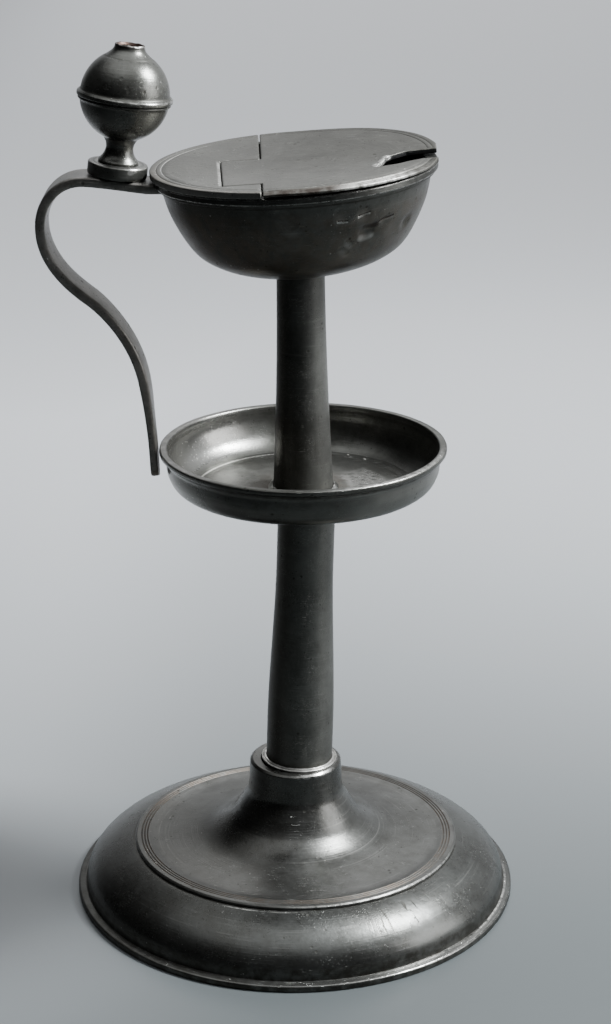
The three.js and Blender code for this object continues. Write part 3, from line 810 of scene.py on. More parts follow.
def skirt_outline(s):
    base = s.base
    ledge = base.plate_radius - base.ledge_width
    mouth = base.flange_radius - base.flange_width - base.flange_inset
    rim = base.flange_radius - ROOM
    shoulder = base.flange_edge + 0.35
    return outline([
        (mouth, 0, 0.3),
        (rim, 0, 0.5),
        (rim, base.flange_edge, 0.7),
        (rim - 2.3, shoulder, 0.15),
        (rim - 2.6, shoulder - 0.12, 0.12),
        *dome(s, 0)[1:],
        (ledge, base.skirt_height, 0.1),
        (ledge, base.skirt_height - base.skirt_wall, 0.1),
        *reversed(dome(s, base.skirt_wall)),
    ], ring=True)


# Side of the trumpet: share of the way from throat to flat border, and of the collar's height
TRUMPET = (
    (1, -0.016), (0.844, -0.008), (0.673, 0.012), (0.503, 0.050), (0.357, 0.116), (0.218, 0.228),
    (0.150, 0.313), (0.092, 0.413), (0.041, 0.506), (0.005, 0.587), (-0.012, 0.68),
)
PLATE_LINES = 3
LINE_WIDTH = 0.22


def plate_lines(base):
    """Radii of the incised lines"""
    return [base.plate_radius - base.line_inset - base.line_step * k for k in range(PLATE_LINES)]


def plate_outline(s):
    base, stems = s.base, s.stems
    top = base.plate_lip + base.collar_height
    collar = stems.lower_foot + base.fit_gap + base.collar_wall
    throat = collar + base.throat_flare
    reach = base.plate_radius - base.plate_flat - throat
    sunk = base.solder_gap - 0.08
    rise = spline([
        (base.plate_radius - base.plate_flat * 0.62, base.plate_lip),
        *[(throat + reach * out, base.plate_lip + base.collar_height * up) for out, up in TRUMPET],
        (collar, top - base.collar_lip),
    ], 5)
    shelf = stems.lower_foot - stems.wall / 2
    under = top - stems.plug - 1.5
    inner = [place for place in reversed(offset(rise, base.plate_wall)) if place[1] < under - 0.5]
    lines = []
    for radius in plate_lines(base):
        lines += groove(radius, base.plate_lip, LINE_WIDTH, base.line_depth)
    bore = stems.lower_foot + 0.12
    ledge = top - stems.plug - 0.1
    return outline([
        (base.plate_radius, -sunk, 0.15),
        (base.plate_radius, base.plate_lip * 0.45, 0.3),
        (base.plate_radius - 0.5, base.plate_lip * 0.97, 0.4),
        *lines,
        *rise,
        (collar - 0.05, top - base.collar_lip * 0.45, 0.5),
        (collar - 0.9, top, 0.7),
        (bore + 0.3, top - 0.15, 0.3),
        (bore, ledge, 0.1),
        (shelf, ledge, 0.1),
        (shelf, under, 0.1),
        *inner,
        (base.plate_radius - base.ledge_width, -sunk, 0.2),
    ], ring=True)


SETTLE_SLOPE = 0.0227
SETTLE_DROP = 0.3


def settle(point, amount):
    """The plate sits a little lower at the back than at the front"""
    return Vector((point.x, point.y, point.z - (SETTLE_SLOPE * point.y + SETTLE_DROP) * amount))


def skirt_finish(s, place):
    tones = s.finish
    metal = turned_pewter("skirt_pewter", place.skirt, tones, tones.skirt)
    base = s.base
    rim = base.flange_radius
    # Painted highlights on the flange's edges towards the window, partly worn metal, and a painted sheen on
    # its front
    metal.wear_and_highlight(metal.ring(rim - 2.1, 0.5) * metal.toward(-38, 50), 0.7)
    metal.wear_and_highlight(metal.ring(rim - 0.5, 0.4) * metal.toward(-50, 50), 0.3)
    metal.bright_metal_and_sheen(metal.ring(rim - 1.2, 1.6) * metal.toward(-85, 70), 0.12)
    metal.stain_and_shade(metal.radius.smooth(rim - 0.5, rim - 0.1)
                * metal.z.smooth(base.flange_edge - 0.1, 1.4), 0.9)
    metal.stain_and_shade(metal.ring(rim - 2.9, 0.5), 0.9)
    metal.stain_and_shade(metal.ring(base.plate_radius + 0.1, 0.5), 0.9)
    metal.wear_and_highlight(metal.ring(base.plate_radius + 0.9, 0.3) * metal.toward(-100, 16), 0.9)
    # Painted shade: the flange darker on its left, away from the window
    metal.stain_and_shade(metal.ring(rim - 1.3, 1.6) * metal.toward(190, 120), 0.6)
    metal.scratches_across(-54, 16, 58.5, 5.0)
    metal.specks(1.2, 0.74, 0.35)
    return metal.finish()


def plate_finish(s, place):
    tones, base = s.finish, s.base
    metal = turned_pewter("plate_pewter", place.plate, tones, tones.plate, strength=0.55, gloss=0.38)
    edge = base.plate_radius
    # Painted highlight along the plate's edge towards the window, partly worn metal
    metal.wear_and_highlight(metal.ring(edge - 0.2, 0.25) * metal.toward(-52, 44), 0.8)
    for radius in plate_lines(base):
        metal.stain_and_shade(metal.ring(radius, 0.35), 0.5, tones.brown)
    collar_top = base.plate_lip + base.collar_height
    # Painted highlight on the collar's lip towards the window
    metal.wear_and_highlight(metal.level(collar_top - 0.6, 0.7) * metal.toward(-62, 34), 0.5)
    metal.specks(1.2, 0.75, 0.3)
    metal.gloss = metal.gloss - metal.z.smooth(1.5, 4.0) * 0.09
    return metal.finish()


class LAMP_OT_base(bpy.types.Operator):
    """Builds the domed skirt and the plate with its trumpet and collar"""
    bl_idname = "lamp.base"
    bl_label = "Base"

    def execute(self, context):
        s = settings()
        place = frames(s)

        def skirt_shape(point):
            radius = math.hypot(point.x, point.y)
            free = smooth(radius, s.base.flange_radius, s.base.flange_radius - 6)
            point = hand_made(point, 0.13 * free * smooth(point.z, 0.0, 5.0), 24.0)
            return settle(point, smooth(point.z, 2.5, s.base.skirt_height))

        def plate_shape(point):
            return settle(point, smooth(math.hypot(point.x, point.y), 16.0, 30.0))

        turned_piece("skirt_turned", skirt_outline(s), place.skirt, "base_skirt",
                     skirt_finish(s, place), segments=200, ring=True, shape=skirt_shape)
        turned_piece("plate_turned", plate_outline(s), place.plate, "base_well",
                     plate_finish(s, place), segments=180, ring=True, shape=plate_shape)
        return {"FINISHED"}


# Stems

TUBE_REACH = 1.6

SOLDER_BLOTCHES = (5.0, 1.6, 0.6)

# Height at the end of a tube that is bent to fit what it carries
FITTED = 12


def lower_radius(stems, height):
    """The lower stem narrows most in its middle"""
    narrowed = smooth(height, stems.lower_length * 0.14, stems.lower_length * 0.76)
    return stems.lower_foot + (stems.lower_top - stems.lower_foot) * narrowed


def upper_radius(stems, height):
    """The upper stem narrows most near its foot"""
    left = 1 - min(height / stems.upper_length, 1)
    return stems.upper_top + (stems.upper_foot - stems.upper_top) * left ** 1.8


def tube_outline(radius_at, low, high, wall):
    """A tube's outside from low to high and its inside back"""
    count = int((high - low) / TUBE_REACH)
    heights = [low + (high - low) * k / count for k in range(count + 1)]
    outside = [(radius_at(height), height) for height in heights]
    inside = [(radius_at(height) - wall, height) for height in reversed(heights)]
    outside[0] += (0.15,)
    outside[-1] += (0.1,)
    return outline(outside + inside, ring=True)


# Side of the bowl: share of its radius and of its depth
BELLY = ((0, 0), (0.25, 0.015), (0.48, 0.065), (0.68, 0.165), (0.81, 0.31), (0.94, 0.62))


def bowl_wall(s):
    """Outside of the bowl up to the foot of its band"""
    bowl = s.bowl
    belly = [(bowl.radius * out, bowl.depth * up) for out, up in BELLY]
    return spline([*belly, (bowl.radius, bowl.depth - bowl.band_height)], 8)


def stem_finish(s, name, matrix, foot, top):
    metal = turned_pewter(name, matrix, s.finish, strength=0.55, gloss=0.34, turning=0.006, shade_away_from_window=0.85)
    metal.streaks((0.0, 0.0, 0.0), 3.0, 0.10, 0.68, 0.3, 23.0)
    # Painted sheen on the side of the stem towards the window
    metal.bright_metal_and_sheen(metal.toward(-30, 75), 0.05, 0.0)
    metal.stain_and_shade(metal.level(foot, 2.2), 0.6)
    metal.stain_and_shade(metal.level(top, 2.0), 0.5)
    return metal


class LAMP_OT_stems(bpy.types.Operator):
    """Builds the two stem tubes with the bright ring and the solder run at their feet"""
    bl_idname = "lamp.stems"
    bl_label = "Stems"

    def execute(self, context):
        s = settings()
        place = frames(s)
        stems = s.stems
        top = stems.plug + stems.lower_length
        under_pan = place.lower.inverted() @ place.pan
        middle, normal = under_pan.translation, under_pan.to_3x3() @ UP

        def fit_under_pan(point):
            share_up = smooth(point.z, top - FITTED, top)
            plane = middle.z - ((point.x - middle.x) * normal.x + point.y * normal.y) / normal.z
            return Vector((point.x, point.y, point.z + (plane - 0.08 - top) * share_up))

        metal = stem_finish(s, "lower_stem_pewter", place.lower, stems.plug, top)
        tube = tube_outline(
            lambda height: lower_radius(stems, height - stems.plug), 0, top, stems.wall)
        turned_piece("lower_tube", tube, place.lower, "lower_stem",
                     metal.finish(metallic=0.82, edge=0.6), segments=96, ring=True, shape=fit_under_pan)

        wall_points = bowl_wall(s)
        to_bowl = place.bowl.inverted() @ place.upper
        end = stems.upper_length

        def fit_under_bowl(point):
            share_up = smooth(point.z, end - FITTED, end)
            lift = 0
            for _ in range(3):
                local = to_bowl @ (Vector((point.x, point.y, end)) + UP * lift)
                lift += look_up(wall_points, 0, 1, math.hypot(local.x, local.y), 0) - ROOM - local.z
            return Vector((point.x, point.y, point.z + lift * share_up))

        metal = stem_finish(s, "upper_stem_pewter", place.upper, 0, end)
        metal.bright_metal_and_sheen(metal.streak((-1.5, -8.6, 49.0), (-0.2, -8.6, 53.5), 0.25), 0.9)
        tube = tube_outline(lambda height: upper_radius(stems, height), 0.1, end, stems.wall)
        turned_piece("upper_tube", tube, place.upper, "upper_stem",
                     metal.finish(metallic=0.78, edge=0.6), segments=88, ring=True, shape=fit_under_bowl)
        self.seat_ring(s, place)
        self.solder_run(s, place)
        return {"FINISHED"}

    def seat_ring(self, s, place):
        """Two bright beads of solder round the lower stem"""
        stems = s.stems
        inner = stems.lower_foot + ROOM
        outer = s.base.fit_gap + stems.lower_foot + stems.ring_width
        low, high = stems.plug + 0.04, stems.plug + 0.2 + stems.ring_height
        valley = inner + 0.75
        points = outline([
            (inner, low, 0.05),
            (outer, low, 0.1),
            (outer, high - 0.45, 0.2),
            (outer - 0.35, high - 0.3, 0.15),
            (valley, low + 0.25, 0.08),
            (valley - 0.2, high - 0.1, 0.2),
            (inner, high, 0.1),
        ], 0.3, True)
        metal = Metal("seat_ring_solder", place.lower, s.finish.bright, s.finish)
        metal.blotches(SOLDER_BLOTCHES, 0.45)

        def uneven(point):
            return point + UP * (noise.noise(point / 2.2) * 0.08)

        turned_piece("seat_ring_beads", points, place.lower, "stem_seat_ring",
                     metal.finish(), segments=120, ring=True, shape=uneven)

    def solder_run(self, s, place):
        """An uneven run of solder on the pan floor"""
        stems = s.stems
        inner = stems.upper_foot + ROOM
        outer = inner + stems.solder_width
        points = outline([
            (inner, 0.12, 0.1),
            (outer, 0.12, 0.2),
            (outer - 0.3, 0.5, 0.3),
            (inner + 0.5, stems.solder_height, 0.4),
            (inner, stems.solder_height, 0.1),
        ], 0.25, True)
        metal = Metal("pan_solder", place.upper, s.finish.pewter, s.finish)
        metal.blotches(SOLDER_BLOTCHES, 0.5)
        # Rubbed solder, brightest towards the window as a painted highlight
        metal.wear_and_highlight(metal.toward(-45, 60), 0.6)
        metal.stain_and_shade(metal.streak((5.0, -8.6, 0.8), (5.3, -8.9, 0.7), 0.5), 1.0)

        def uneven(point):
            around = Vector((point.x, point.y, 0)).normalized() * 3.0
            height = max(0.35, 0.85 + 0.9 * noise.noise(around + Vector((4, 2, 7))))
            return Vector((point.x, point.y, 0.12 + (point.z - 0.12) * height))

        turned_piece("pan_solder_bead", points, place.upper, "pan_solder_run",
                     metal.finish(), segments=120, ring=True, shape=uneven)


# Drip pan

def pan_outline(s):
    pan = s.pan
    mouth = pan.radius - pan.rim_width

    def side(part):
        return pan.floor_radius + (mouth - pan.floor_radius) * part

    outside = spline([
        (pan.flat_radius, 0),
        (pan.floor_radius * 0.86, pan.depth * 0.08),
        (side(0.6), pan.depth * 0.21),
        (side(0.98), pan.depth * 0.48),
        (side(1.04), pan.depth * 0.76),
    ], 10)
    inside = spline([
        (mouth - 0.1, pan.depth - 1.0),
        (side(0.95), pan.depth * 0.68),
        (side(0.73), pan.depth * 0.4),
        (side(0.39), pan.depth * 0.21),
        (pan.floor_radius + 0.2, pan.wall + 0.12),
    ], 9)
    rim_low = pan.depth - pan.rim_drop
    return outline([
        (0, 0),
        (pan.flat_radius * 0.6, 0),
        *outside,
        (pan.radius - 1.2, rim_low + 0.1, 0.4),
        (pan.radius, rim_low + 0.9, 0.6),
        (pan.radius, pan.depth, 0.75),
        (mouth + 0.1, pan.depth, 0.6),
        *inside,
        (pan.floor_radius - 0.15, pan.wall + 0.18, 0.1),
        (pan.floor_radius - 0.55, pan.wall, 0.15),
        (0, pan.wall),
    ])


class LAMP_OT_pan(bpy.types.Operator):
    """Builds the drip pan"""
    bl_idname = "lamp.pan"
    bl_label = "Drip pan"

    def execute(self, context):
        s = settings()
        place = frames(s)
        pan, tones = s.pan, s.finish

        def shape(point):
            return hand_made(point, 0.12 * smooth(math.hypot(point.x, point.y), 14, 26), 21.0)

        metal = turned_pewter("pan_pewter", place.pan, tones, strength=0.5, gloss=0.32)
        floor = pan.floor_radius
        inside = metal.z.smooth(pan.wall - 0.6, pan.wall - 0.2)
        inside = inside * metal.radius.smooth(floor + 1, floor - 1)
        metal.stain_and_shade(inside * metal.radius.smooth(20, 10), 0.35, tones.brown)
        metal.wear_and_highlight(inside * metal.toward(18, 34)
                   * metal.radius.smooth(13, 15) * metal.radius.smooth(27, 25), 0.5)
        # Painted reflections: the floor circle and inner wall at the back and left, which face the window,
        # made brighter
        metal.bright_metal_and_sheen(metal.ring(floor - 0.2, 0.4) * metal.toward(140, 80), 0.9)
        metal.bright_metal_and_sheen(metal.toward(175, 70) * metal.radius.smooth(floor, floor + 3)
                    * metal.z.smooth(pan.wall, pan.wall + 2), 0.38)
        # Painted shade: the pan's floor darker on its left
        metal.stain_and_shade(inside * metal.toward(190, 100), 0.6)
        # Painted sheen on the pan's wall towards the window
        metal.bright_metal_and_sheen(metal.toward(-25, 60) * metal.radius.smooth(floor, floor + 4)
                    * metal.z.smooth(pan.depth - 1, pan.depth - 3), 0.14, 0.0)
        # Rubbed rim, brightest towards the window as a painted highlight
        metal.wear_and_highlight(metal.ring(pan.radius - 0.9, 0.9)
                   * metal.z.smooth(pan.depth - 0.8, pan.depth - 0.1) * metal.toward(-42, 42), 0.75)
        # Painted shade: the top of the rim darker on its left
        metal.stain_and_shade(metal.ring(pan.radius - 1.2, 1.3)
                    * metal.z.smooth(pan.depth - 0.5, pan.depth - 0.1) * metal.toward(-140, 120), 0.45)
        # Painted shadow under the rolled rim
        metal.stain_and_shade(metal.level(pan.depth - pan.rim_drop - 0.2, 0.7)
                    * metal.radius.smooth(pan.radius - 3, pan.radius - 2), 0.8)
        turned_piece("pan_turned", pan_outline(s), place.pan, "drip_pan",
                     metal.finish(edge=0.85), segments=180, shape=shape)
        return {"FINISHED"}


# Bowl

def bowl_outline(s):
    bowl = s.bowl
    wall_points = bowl_wall(s)
    inside = [place for place in reversed(offset(wall_points, bowl.wall)) if place[0] > 1]
    band = bowl.radius + bowl.band_width
    foot = bowl.depth - bowl.band_height
    return outline([
        *wall_points[:-1],
        (bowl.radius, foot + 0.05, 0.2),
        (band - 0.9, foot + 0.1, 0.3),
        (band - 0.75, foot + 0.95, 0.2),
        (band, foot + 1.15, 0.35),
        (band, bowl.depth, 0.4),
        (bowl.radius - bowl.wall, bowl.depth, 0.3),
        *inside,
        (0, bowl.wall),
    ], 1.2)


def bowl_radius_at(wall_points, height):
    return look_up(wall_points, 1, 0, height, wall_points[-1][0])


def bowl_spot(s, azimuth, height):
    """A point on the outside of the bowl"""
    radius, around = bowl_radius_at(bowl_wall(s), height), math.radians(azimuth)
    return Vector((radius * math.cos(around), radius * math.sin(around), height))


# Dents in the bowl: azimuth, height, radius and depth
BOWL_DENTS = (
    (-58.5, 17.8, 3.6, 1.0),
    (-32, 17.0, 3.0, 0.8),
    (-70, 22.9, 2.6, 0.35),
    (-60, 23.0, 2.6, 0.4),
    (-49, 20.0, 2.4, 0.35),
    (-41, 16.5, 4.5, 0.25),
    (-92, 25.0, 6.0, 0.25),
    (-109, 15.5, 7.0, 0.2),
)


# Painted shade in the bowl's creases and painted highlights below them: azimuth, half width, both heights,
# width, dark and light share
BOWL_DENT_SHADING = (
    (-70.5, 2.0, 22.3, 22.1, 0.60, 0.8, 0.85),
    (-60.5, 2.6, 22.9, 23.5, 0.60, 0.9, 0.95),
    (-48.5, 4.0, 20.0, 20.8, 0.60, 0.9, 0.1),
    (-56.5, 2.8, 18.5, 19.3, 1.6, 0.9, 0.0),
    (-58.0, 2.4, 17.0, 17.5, 1.8, 0.0, 0.5),
    (-66.5, 0.8, 15.6, 14.8, 1.6, 0.0, 0.12),
    (-68.5, 1.2, 13.4, 12.2, 1.8, 0.0, 0.08),
    (-31.0, 1.6, 16.2, 16.6, 0.60, 0.6, 0.8),
    (-94.0, 2.0, 25.6, 22.6, 3.0, 0.0, 0.07),
    (-66.0, 6.0, 24.6, 24.8, 2.6, 0.0, 0.09),
)


class LAMP_OT_bowl(bpy.types.Operator):
    """Builds the oil bowl with its rim band and dents"""
    bl_idname = "lamp.bowl"
    bl_label = "Bowl"

    def execute(self, context):
        s = settings()
        place = frames(s)
        bowl, tones = s.bowl, s.finish
        dents = []
        for azimuth, height, radius, depth in BOWL_DENTS:
            centre = bowl_spot(s, azimuth, height)
            way = -Vector((centre.x, centre.y, 0)).normalized()
            dents.append((centre, radius, depth, way))

        def shape(point):
            point = hand_made(point, 0.14, 20.0)
            for item in dents:
                point = dent(point, *item)
            return point

        metal = turned_pewter(
            "bowl_pewter", place.bowl, tones, tones.bowl, strength=0.65, gloss=0.30, shade_away_from_window=0.9)
        band = bowl.radius + bowl.band_width
        foot = bowl.depth - bowl.band_height
        for height, width, amount in ((bowl.depth - 0.3, 0.35, 0.4), (foot + 1.3, 0.3, 0.35)):
            metal.wear_and_highlight(metal.level(height, width) * metal.radius.smooth(band - 1, band - 0.5), amount)
        metal.stain_and_shade(metal.level(foot - 0.1, 0.6), 0.8)
        # Each dent gets painted shade along its crease and a painted highlight just below it
        for azimuth, half, low, high, width, shade_share, light in BOWL_DENT_SHADING:
            first, last = bowl_spot(s, azimuth - half, low), bowl_spot(s, azimuth + half, high)
            below = UP * (width * 0.9)
            metal.bright_metal_and_sheen(metal.streak(first - below, last - below, width), light)
            metal.mark(metal.streak(first, last, width * 0.8), shade_share)
        inside = metal.radius.smooth(bowl.radius - 0.4, bowl.radius - 1.2)
        inside = inside * metal.z.smooth(bowl.depth - 1, foot)
        metal.specks(1.2, 0.72, 0.5)
        metal.stain_and_shade(inside * 0.6, 0.4, tones.brown)
        turned_piece("bowl_turned", bowl_outline(s), place.bowl, "lamp_bowl",
                     metal.finish(edge=0.68), segments=240, shape=shape)
        return {"FINISHED"}


# Lid

# Steps of a rounded edge, rounding of a corner that names none, and the angle from which edges look sharp
EDGE_STEPS = 4
LID_ROUNDING = 0.35
LID_SHARP = 40

# Longest run along the outline of a half, and depth of the incised lines
EDGE_REACH = 1.1
LID_LINE_DEPTH = 0.16

# Undersides of both halves, and how far the notch and the tongue stay behind the tongue's full reach
FIXED_LOW, FLAP_LOW = -0.2, 0.08
NOTCH_SHORT, TONGUE_SHORT = 0.7, 1.0

# Share of the rim's radius that the skewed cut crosses, the angle kept free where it meets the rim,
# and how far inside the rim its corners lie, with their rounding
CUT_REACH = 0.97
CUT_ROOM = 0.008
CUT_INSET, CUT_ROUNDING = 0.35, 0.25

# The open slot of the flap: Y where it meets the rim, and its corners from the front, with roundings
SLOT_MOUTHS = (-9.6, 8.5)
SLOT = (
    (37.0, -9.6, 2.0), (33.0, -11.9, 2.0), (29.2, -14.9, 2.0), (23.4, -17.4, 0.4), (23.9, -13.0, 0.8),
    (26.4, -4.9, 1.0), (28.2, -2.9, 1.0), (32.0, 0.7, 2.0), (36.5, 1.6, 2.0), (41.3, 2.4, 0.4),
)

# Where the flap is torn down beside the slot, how far round and how deep
TORN_X, TORN_Y, TORN_REACH, TORN_DEPTH = 24.8, -10.0, 6.5, 0.5


def soften(corners):
    """A closed flat outline with its corners rounded and its runs cut short"""
    rounded = [(*corner, LID_ROUNDING) if len(corner) == 2 else corner for corner in corners]
    return outline(rounded, EDGE_REACH, ring=True)


def arc(radius, height, centre, start, end, steps):
    """Points of an upright arc, as radius and height"""
    angles = [start + (end - start) * k / steps for k in range(steps + 1)]
    return [(radius * math.cos(around), centre + height * math.sin(around)) for around in angles]


def rim_arc(radius, first, last, steps):
    """Corners along the lid's rim, without rounding"""
    return [(x, y, 0) for x, y in arc(radius, radius, 0, first, last, steps)]


def slab(edge, inner, thickness, rounding, top_at, low_at):
    """A plate with rounded edges: its closed outline, extra points for its faces and their heights"""
    count = len(edge)
    inward = []
    for i, point in enumerate(edge):
        along = (edge[(i + 1) % count] - edge[i - 1]).normalized()
        inward.append(Vector((-along.y, along.x)))
    turns = [math.pi / 2 * k / EDGE_STEPS for k in range(EDGE_STEPS + 1)]
    below = [(rounding * (1 - math.sin(turn_by)), rounding * (1 - math.cos(turn_by)))
             for turn_by in turns]
    rows = below + [(inset, thickness - height) for inset, height in reversed(below)]
    corners = []
    for inset, height in rows:
        for point, way in zip(edge, inward):
            flat = point + way * inset
            low, high = low_at(flat.x, flat.y), top_at(flat.x, flat.y)
            corners.append(Vector((flat.x, flat.y, low + (high - low) * (height / thickness))))
    faces = ring_faces(len(rows), count)
    cap_edge = [point + way * rounding for point, way in zip(edge, inward)]
    found, _, triangles, origins, _, _ = delaunay_2d_cdt(
        cap_edge + inner, [], [list(range(count))], 1, 1e-7)
    for high_side in (False, True):
        first_row = (len(rows) - 1) * count if high_side else 0
        names = {}
        for i, point in enumerate(found):
            on_edge = [origin for origin in origins[i] if origin < count]
            if on_edge:
                names[i] = first_row + on_edge[0]
            else:
                names[i] = len(corners)
                height = top_at(point.x, point.y) if high_side else low_at(point.x, point.y)
                corners.append(Vector((point.x, point.y, height)))
        for triangle in triangles:
            turned_face = triangle if high_side else reversed(triangle)
            faces.append(tuple(names[i] for i in turned_face))
    return corners, faces


# Points on each ring beside an incised line, how far the rings lie from it, the room kept round them,
# the room kept inside the edge, and the height of a row of equal triangles
RING_POINTS = 260
RING_OFFSETS = (-0.30, -0.12, 0.0, 0.12, 0.30)
RING_ROOM = 0.45
KEEP_OFF = 0.75
ROW_HEIGHT = 0.866


def cap_points(edge, radius, lines, reach):
    """Points for the faces of a lid half: rings at the incised lines and a grid between them"""
    def usable(point):
        """Inside the edge and not too near to it"""
        crossings = False
        for a, b in zip(edge, edge[1:] + edge[:1]):
            if (a.y > point.y) != (b.y > point.y):
                if point.x < a.x + (b.x - a.x) * (point.y - a.y) / (b.y - a.y):
                    crossings = not crossings
        nearest = min((point - other).length_squared for other in edge)
        return crossings and nearest > KEEP_OFF * KEEP_OFF

    rings = [line + part for line in lines for part in RING_OFFSETS]
    points = []
    for ring in rings:
        for k in range(RING_POINTS):
            around = math.tau * k / RING_POINTS
            points.append(Vector((ring * math.cos(around), ring * math.sin(around))))
    rows = int(radius / (reach * ROW_HEIGHT))
    for row in range(-rows, rows + 1):
        for column in range(-rows - 2, rows + 3):
            point = Vector(((column + 0.5 * (row % 2)) * reach, row * reach * ROW_HEIGHT))
            if min(abs(point.length - ring) for ring in rings) >= RING_ROOM:
                points.append(point)
    return [point for point in points if usable(point)]


def lid_radius(bowl):
    """Outside of the lid"""
    return bowl.radius + bowl.band_width + bowl.lid_overhang


def lid_lines(bowl):
    """Radii of the two incised lines"""
    outer = lid_radius(bowl) - bowl.lid_line_inset
    return [outer, outer - bowl.lid_line_step]


def line_depth(bowl, x, y):
    """Depth of the incised lines at a point of the lid"""
    away = math.hypot(x, y)
    return max(LID_LINE_DEPTH * (1 - smooth(abs(away - line), 0.02, 0.26))
               for line in lid_lines(bowl))


def hinge(bowl):
    """X and Z of the pin, radii of bore and barrels, and both ends of the tongue in Y"""
    return types.SimpleNamespace(
        x=bowl.joint_line - bowl.pin_setback,
        z=bowl.lid_thickness - bowl.knuckle_radius,
        bore=bowl.pin_radius + bowl.pin_room,
        barrel=bowl.knuckle_radius - 0.15,
        front=bowl.tongue_offset - bowl.tongue_width / 2,
        back=bowl.tongue_offset + bowl.tongue_width / 2)


def lay_down(corners, at):
    """Points turned round Z, laid along Y on the axis of the hinge"""
    return [Vector((at.x + point.x, point.z, at.z - point.y)) for point in corners]


def barrel(at, low, high):
    """A hinge barrel along Y with its bore"""
    corners, faces = turn(outline([
        (at.bore, low, 0.1),
        (at.barrel, low, 0.25),
        (at.barrel, high, 0.25),
        (at.bore, high, 0.1),
    ], ring=True), 40, True)
    return lay_down(corners, at), faces


def seam(bowl, cut, end, front, back):
    """Angles where the cut meets the rim, at the back and the front, and its corners from the front"""
    def skewed(x, y, skew):
        return x - skew * y, y

    radius = lid_radius(bowl)
    back_x, front_x = (cut - side * bowl.cut_skew * radius * CUT_REACH for side in (1, -1))
    at_back, at_front = math.acos(back_x / radius), math.acos(front_x / radius)
    return at_back, at_front, [
        (front_x, -radius * math.sin(at_front) + CUT_INSET, CUT_ROUNDING),
        skewed(cut, front, bowl.cut_skew),
        skewed(end, front, bowl.tongue_skew),
        skewed(end, back, bowl.tongue_skew),
        skewed(cut, back, bowl.cut_skew),
        (back_x, radius * math.sin(at_back) - CUT_INSET, CUT_ROUNDING),
    ]


def join(parts):
    """Several meshes as one"""
    corners, faces = [], []
    for more_corners, more_faces in parts:
        start = len(corners)
        corners += more_corners
        faces += [tuple(start + i for i in face) for face in more_faces]
    return corners, faces


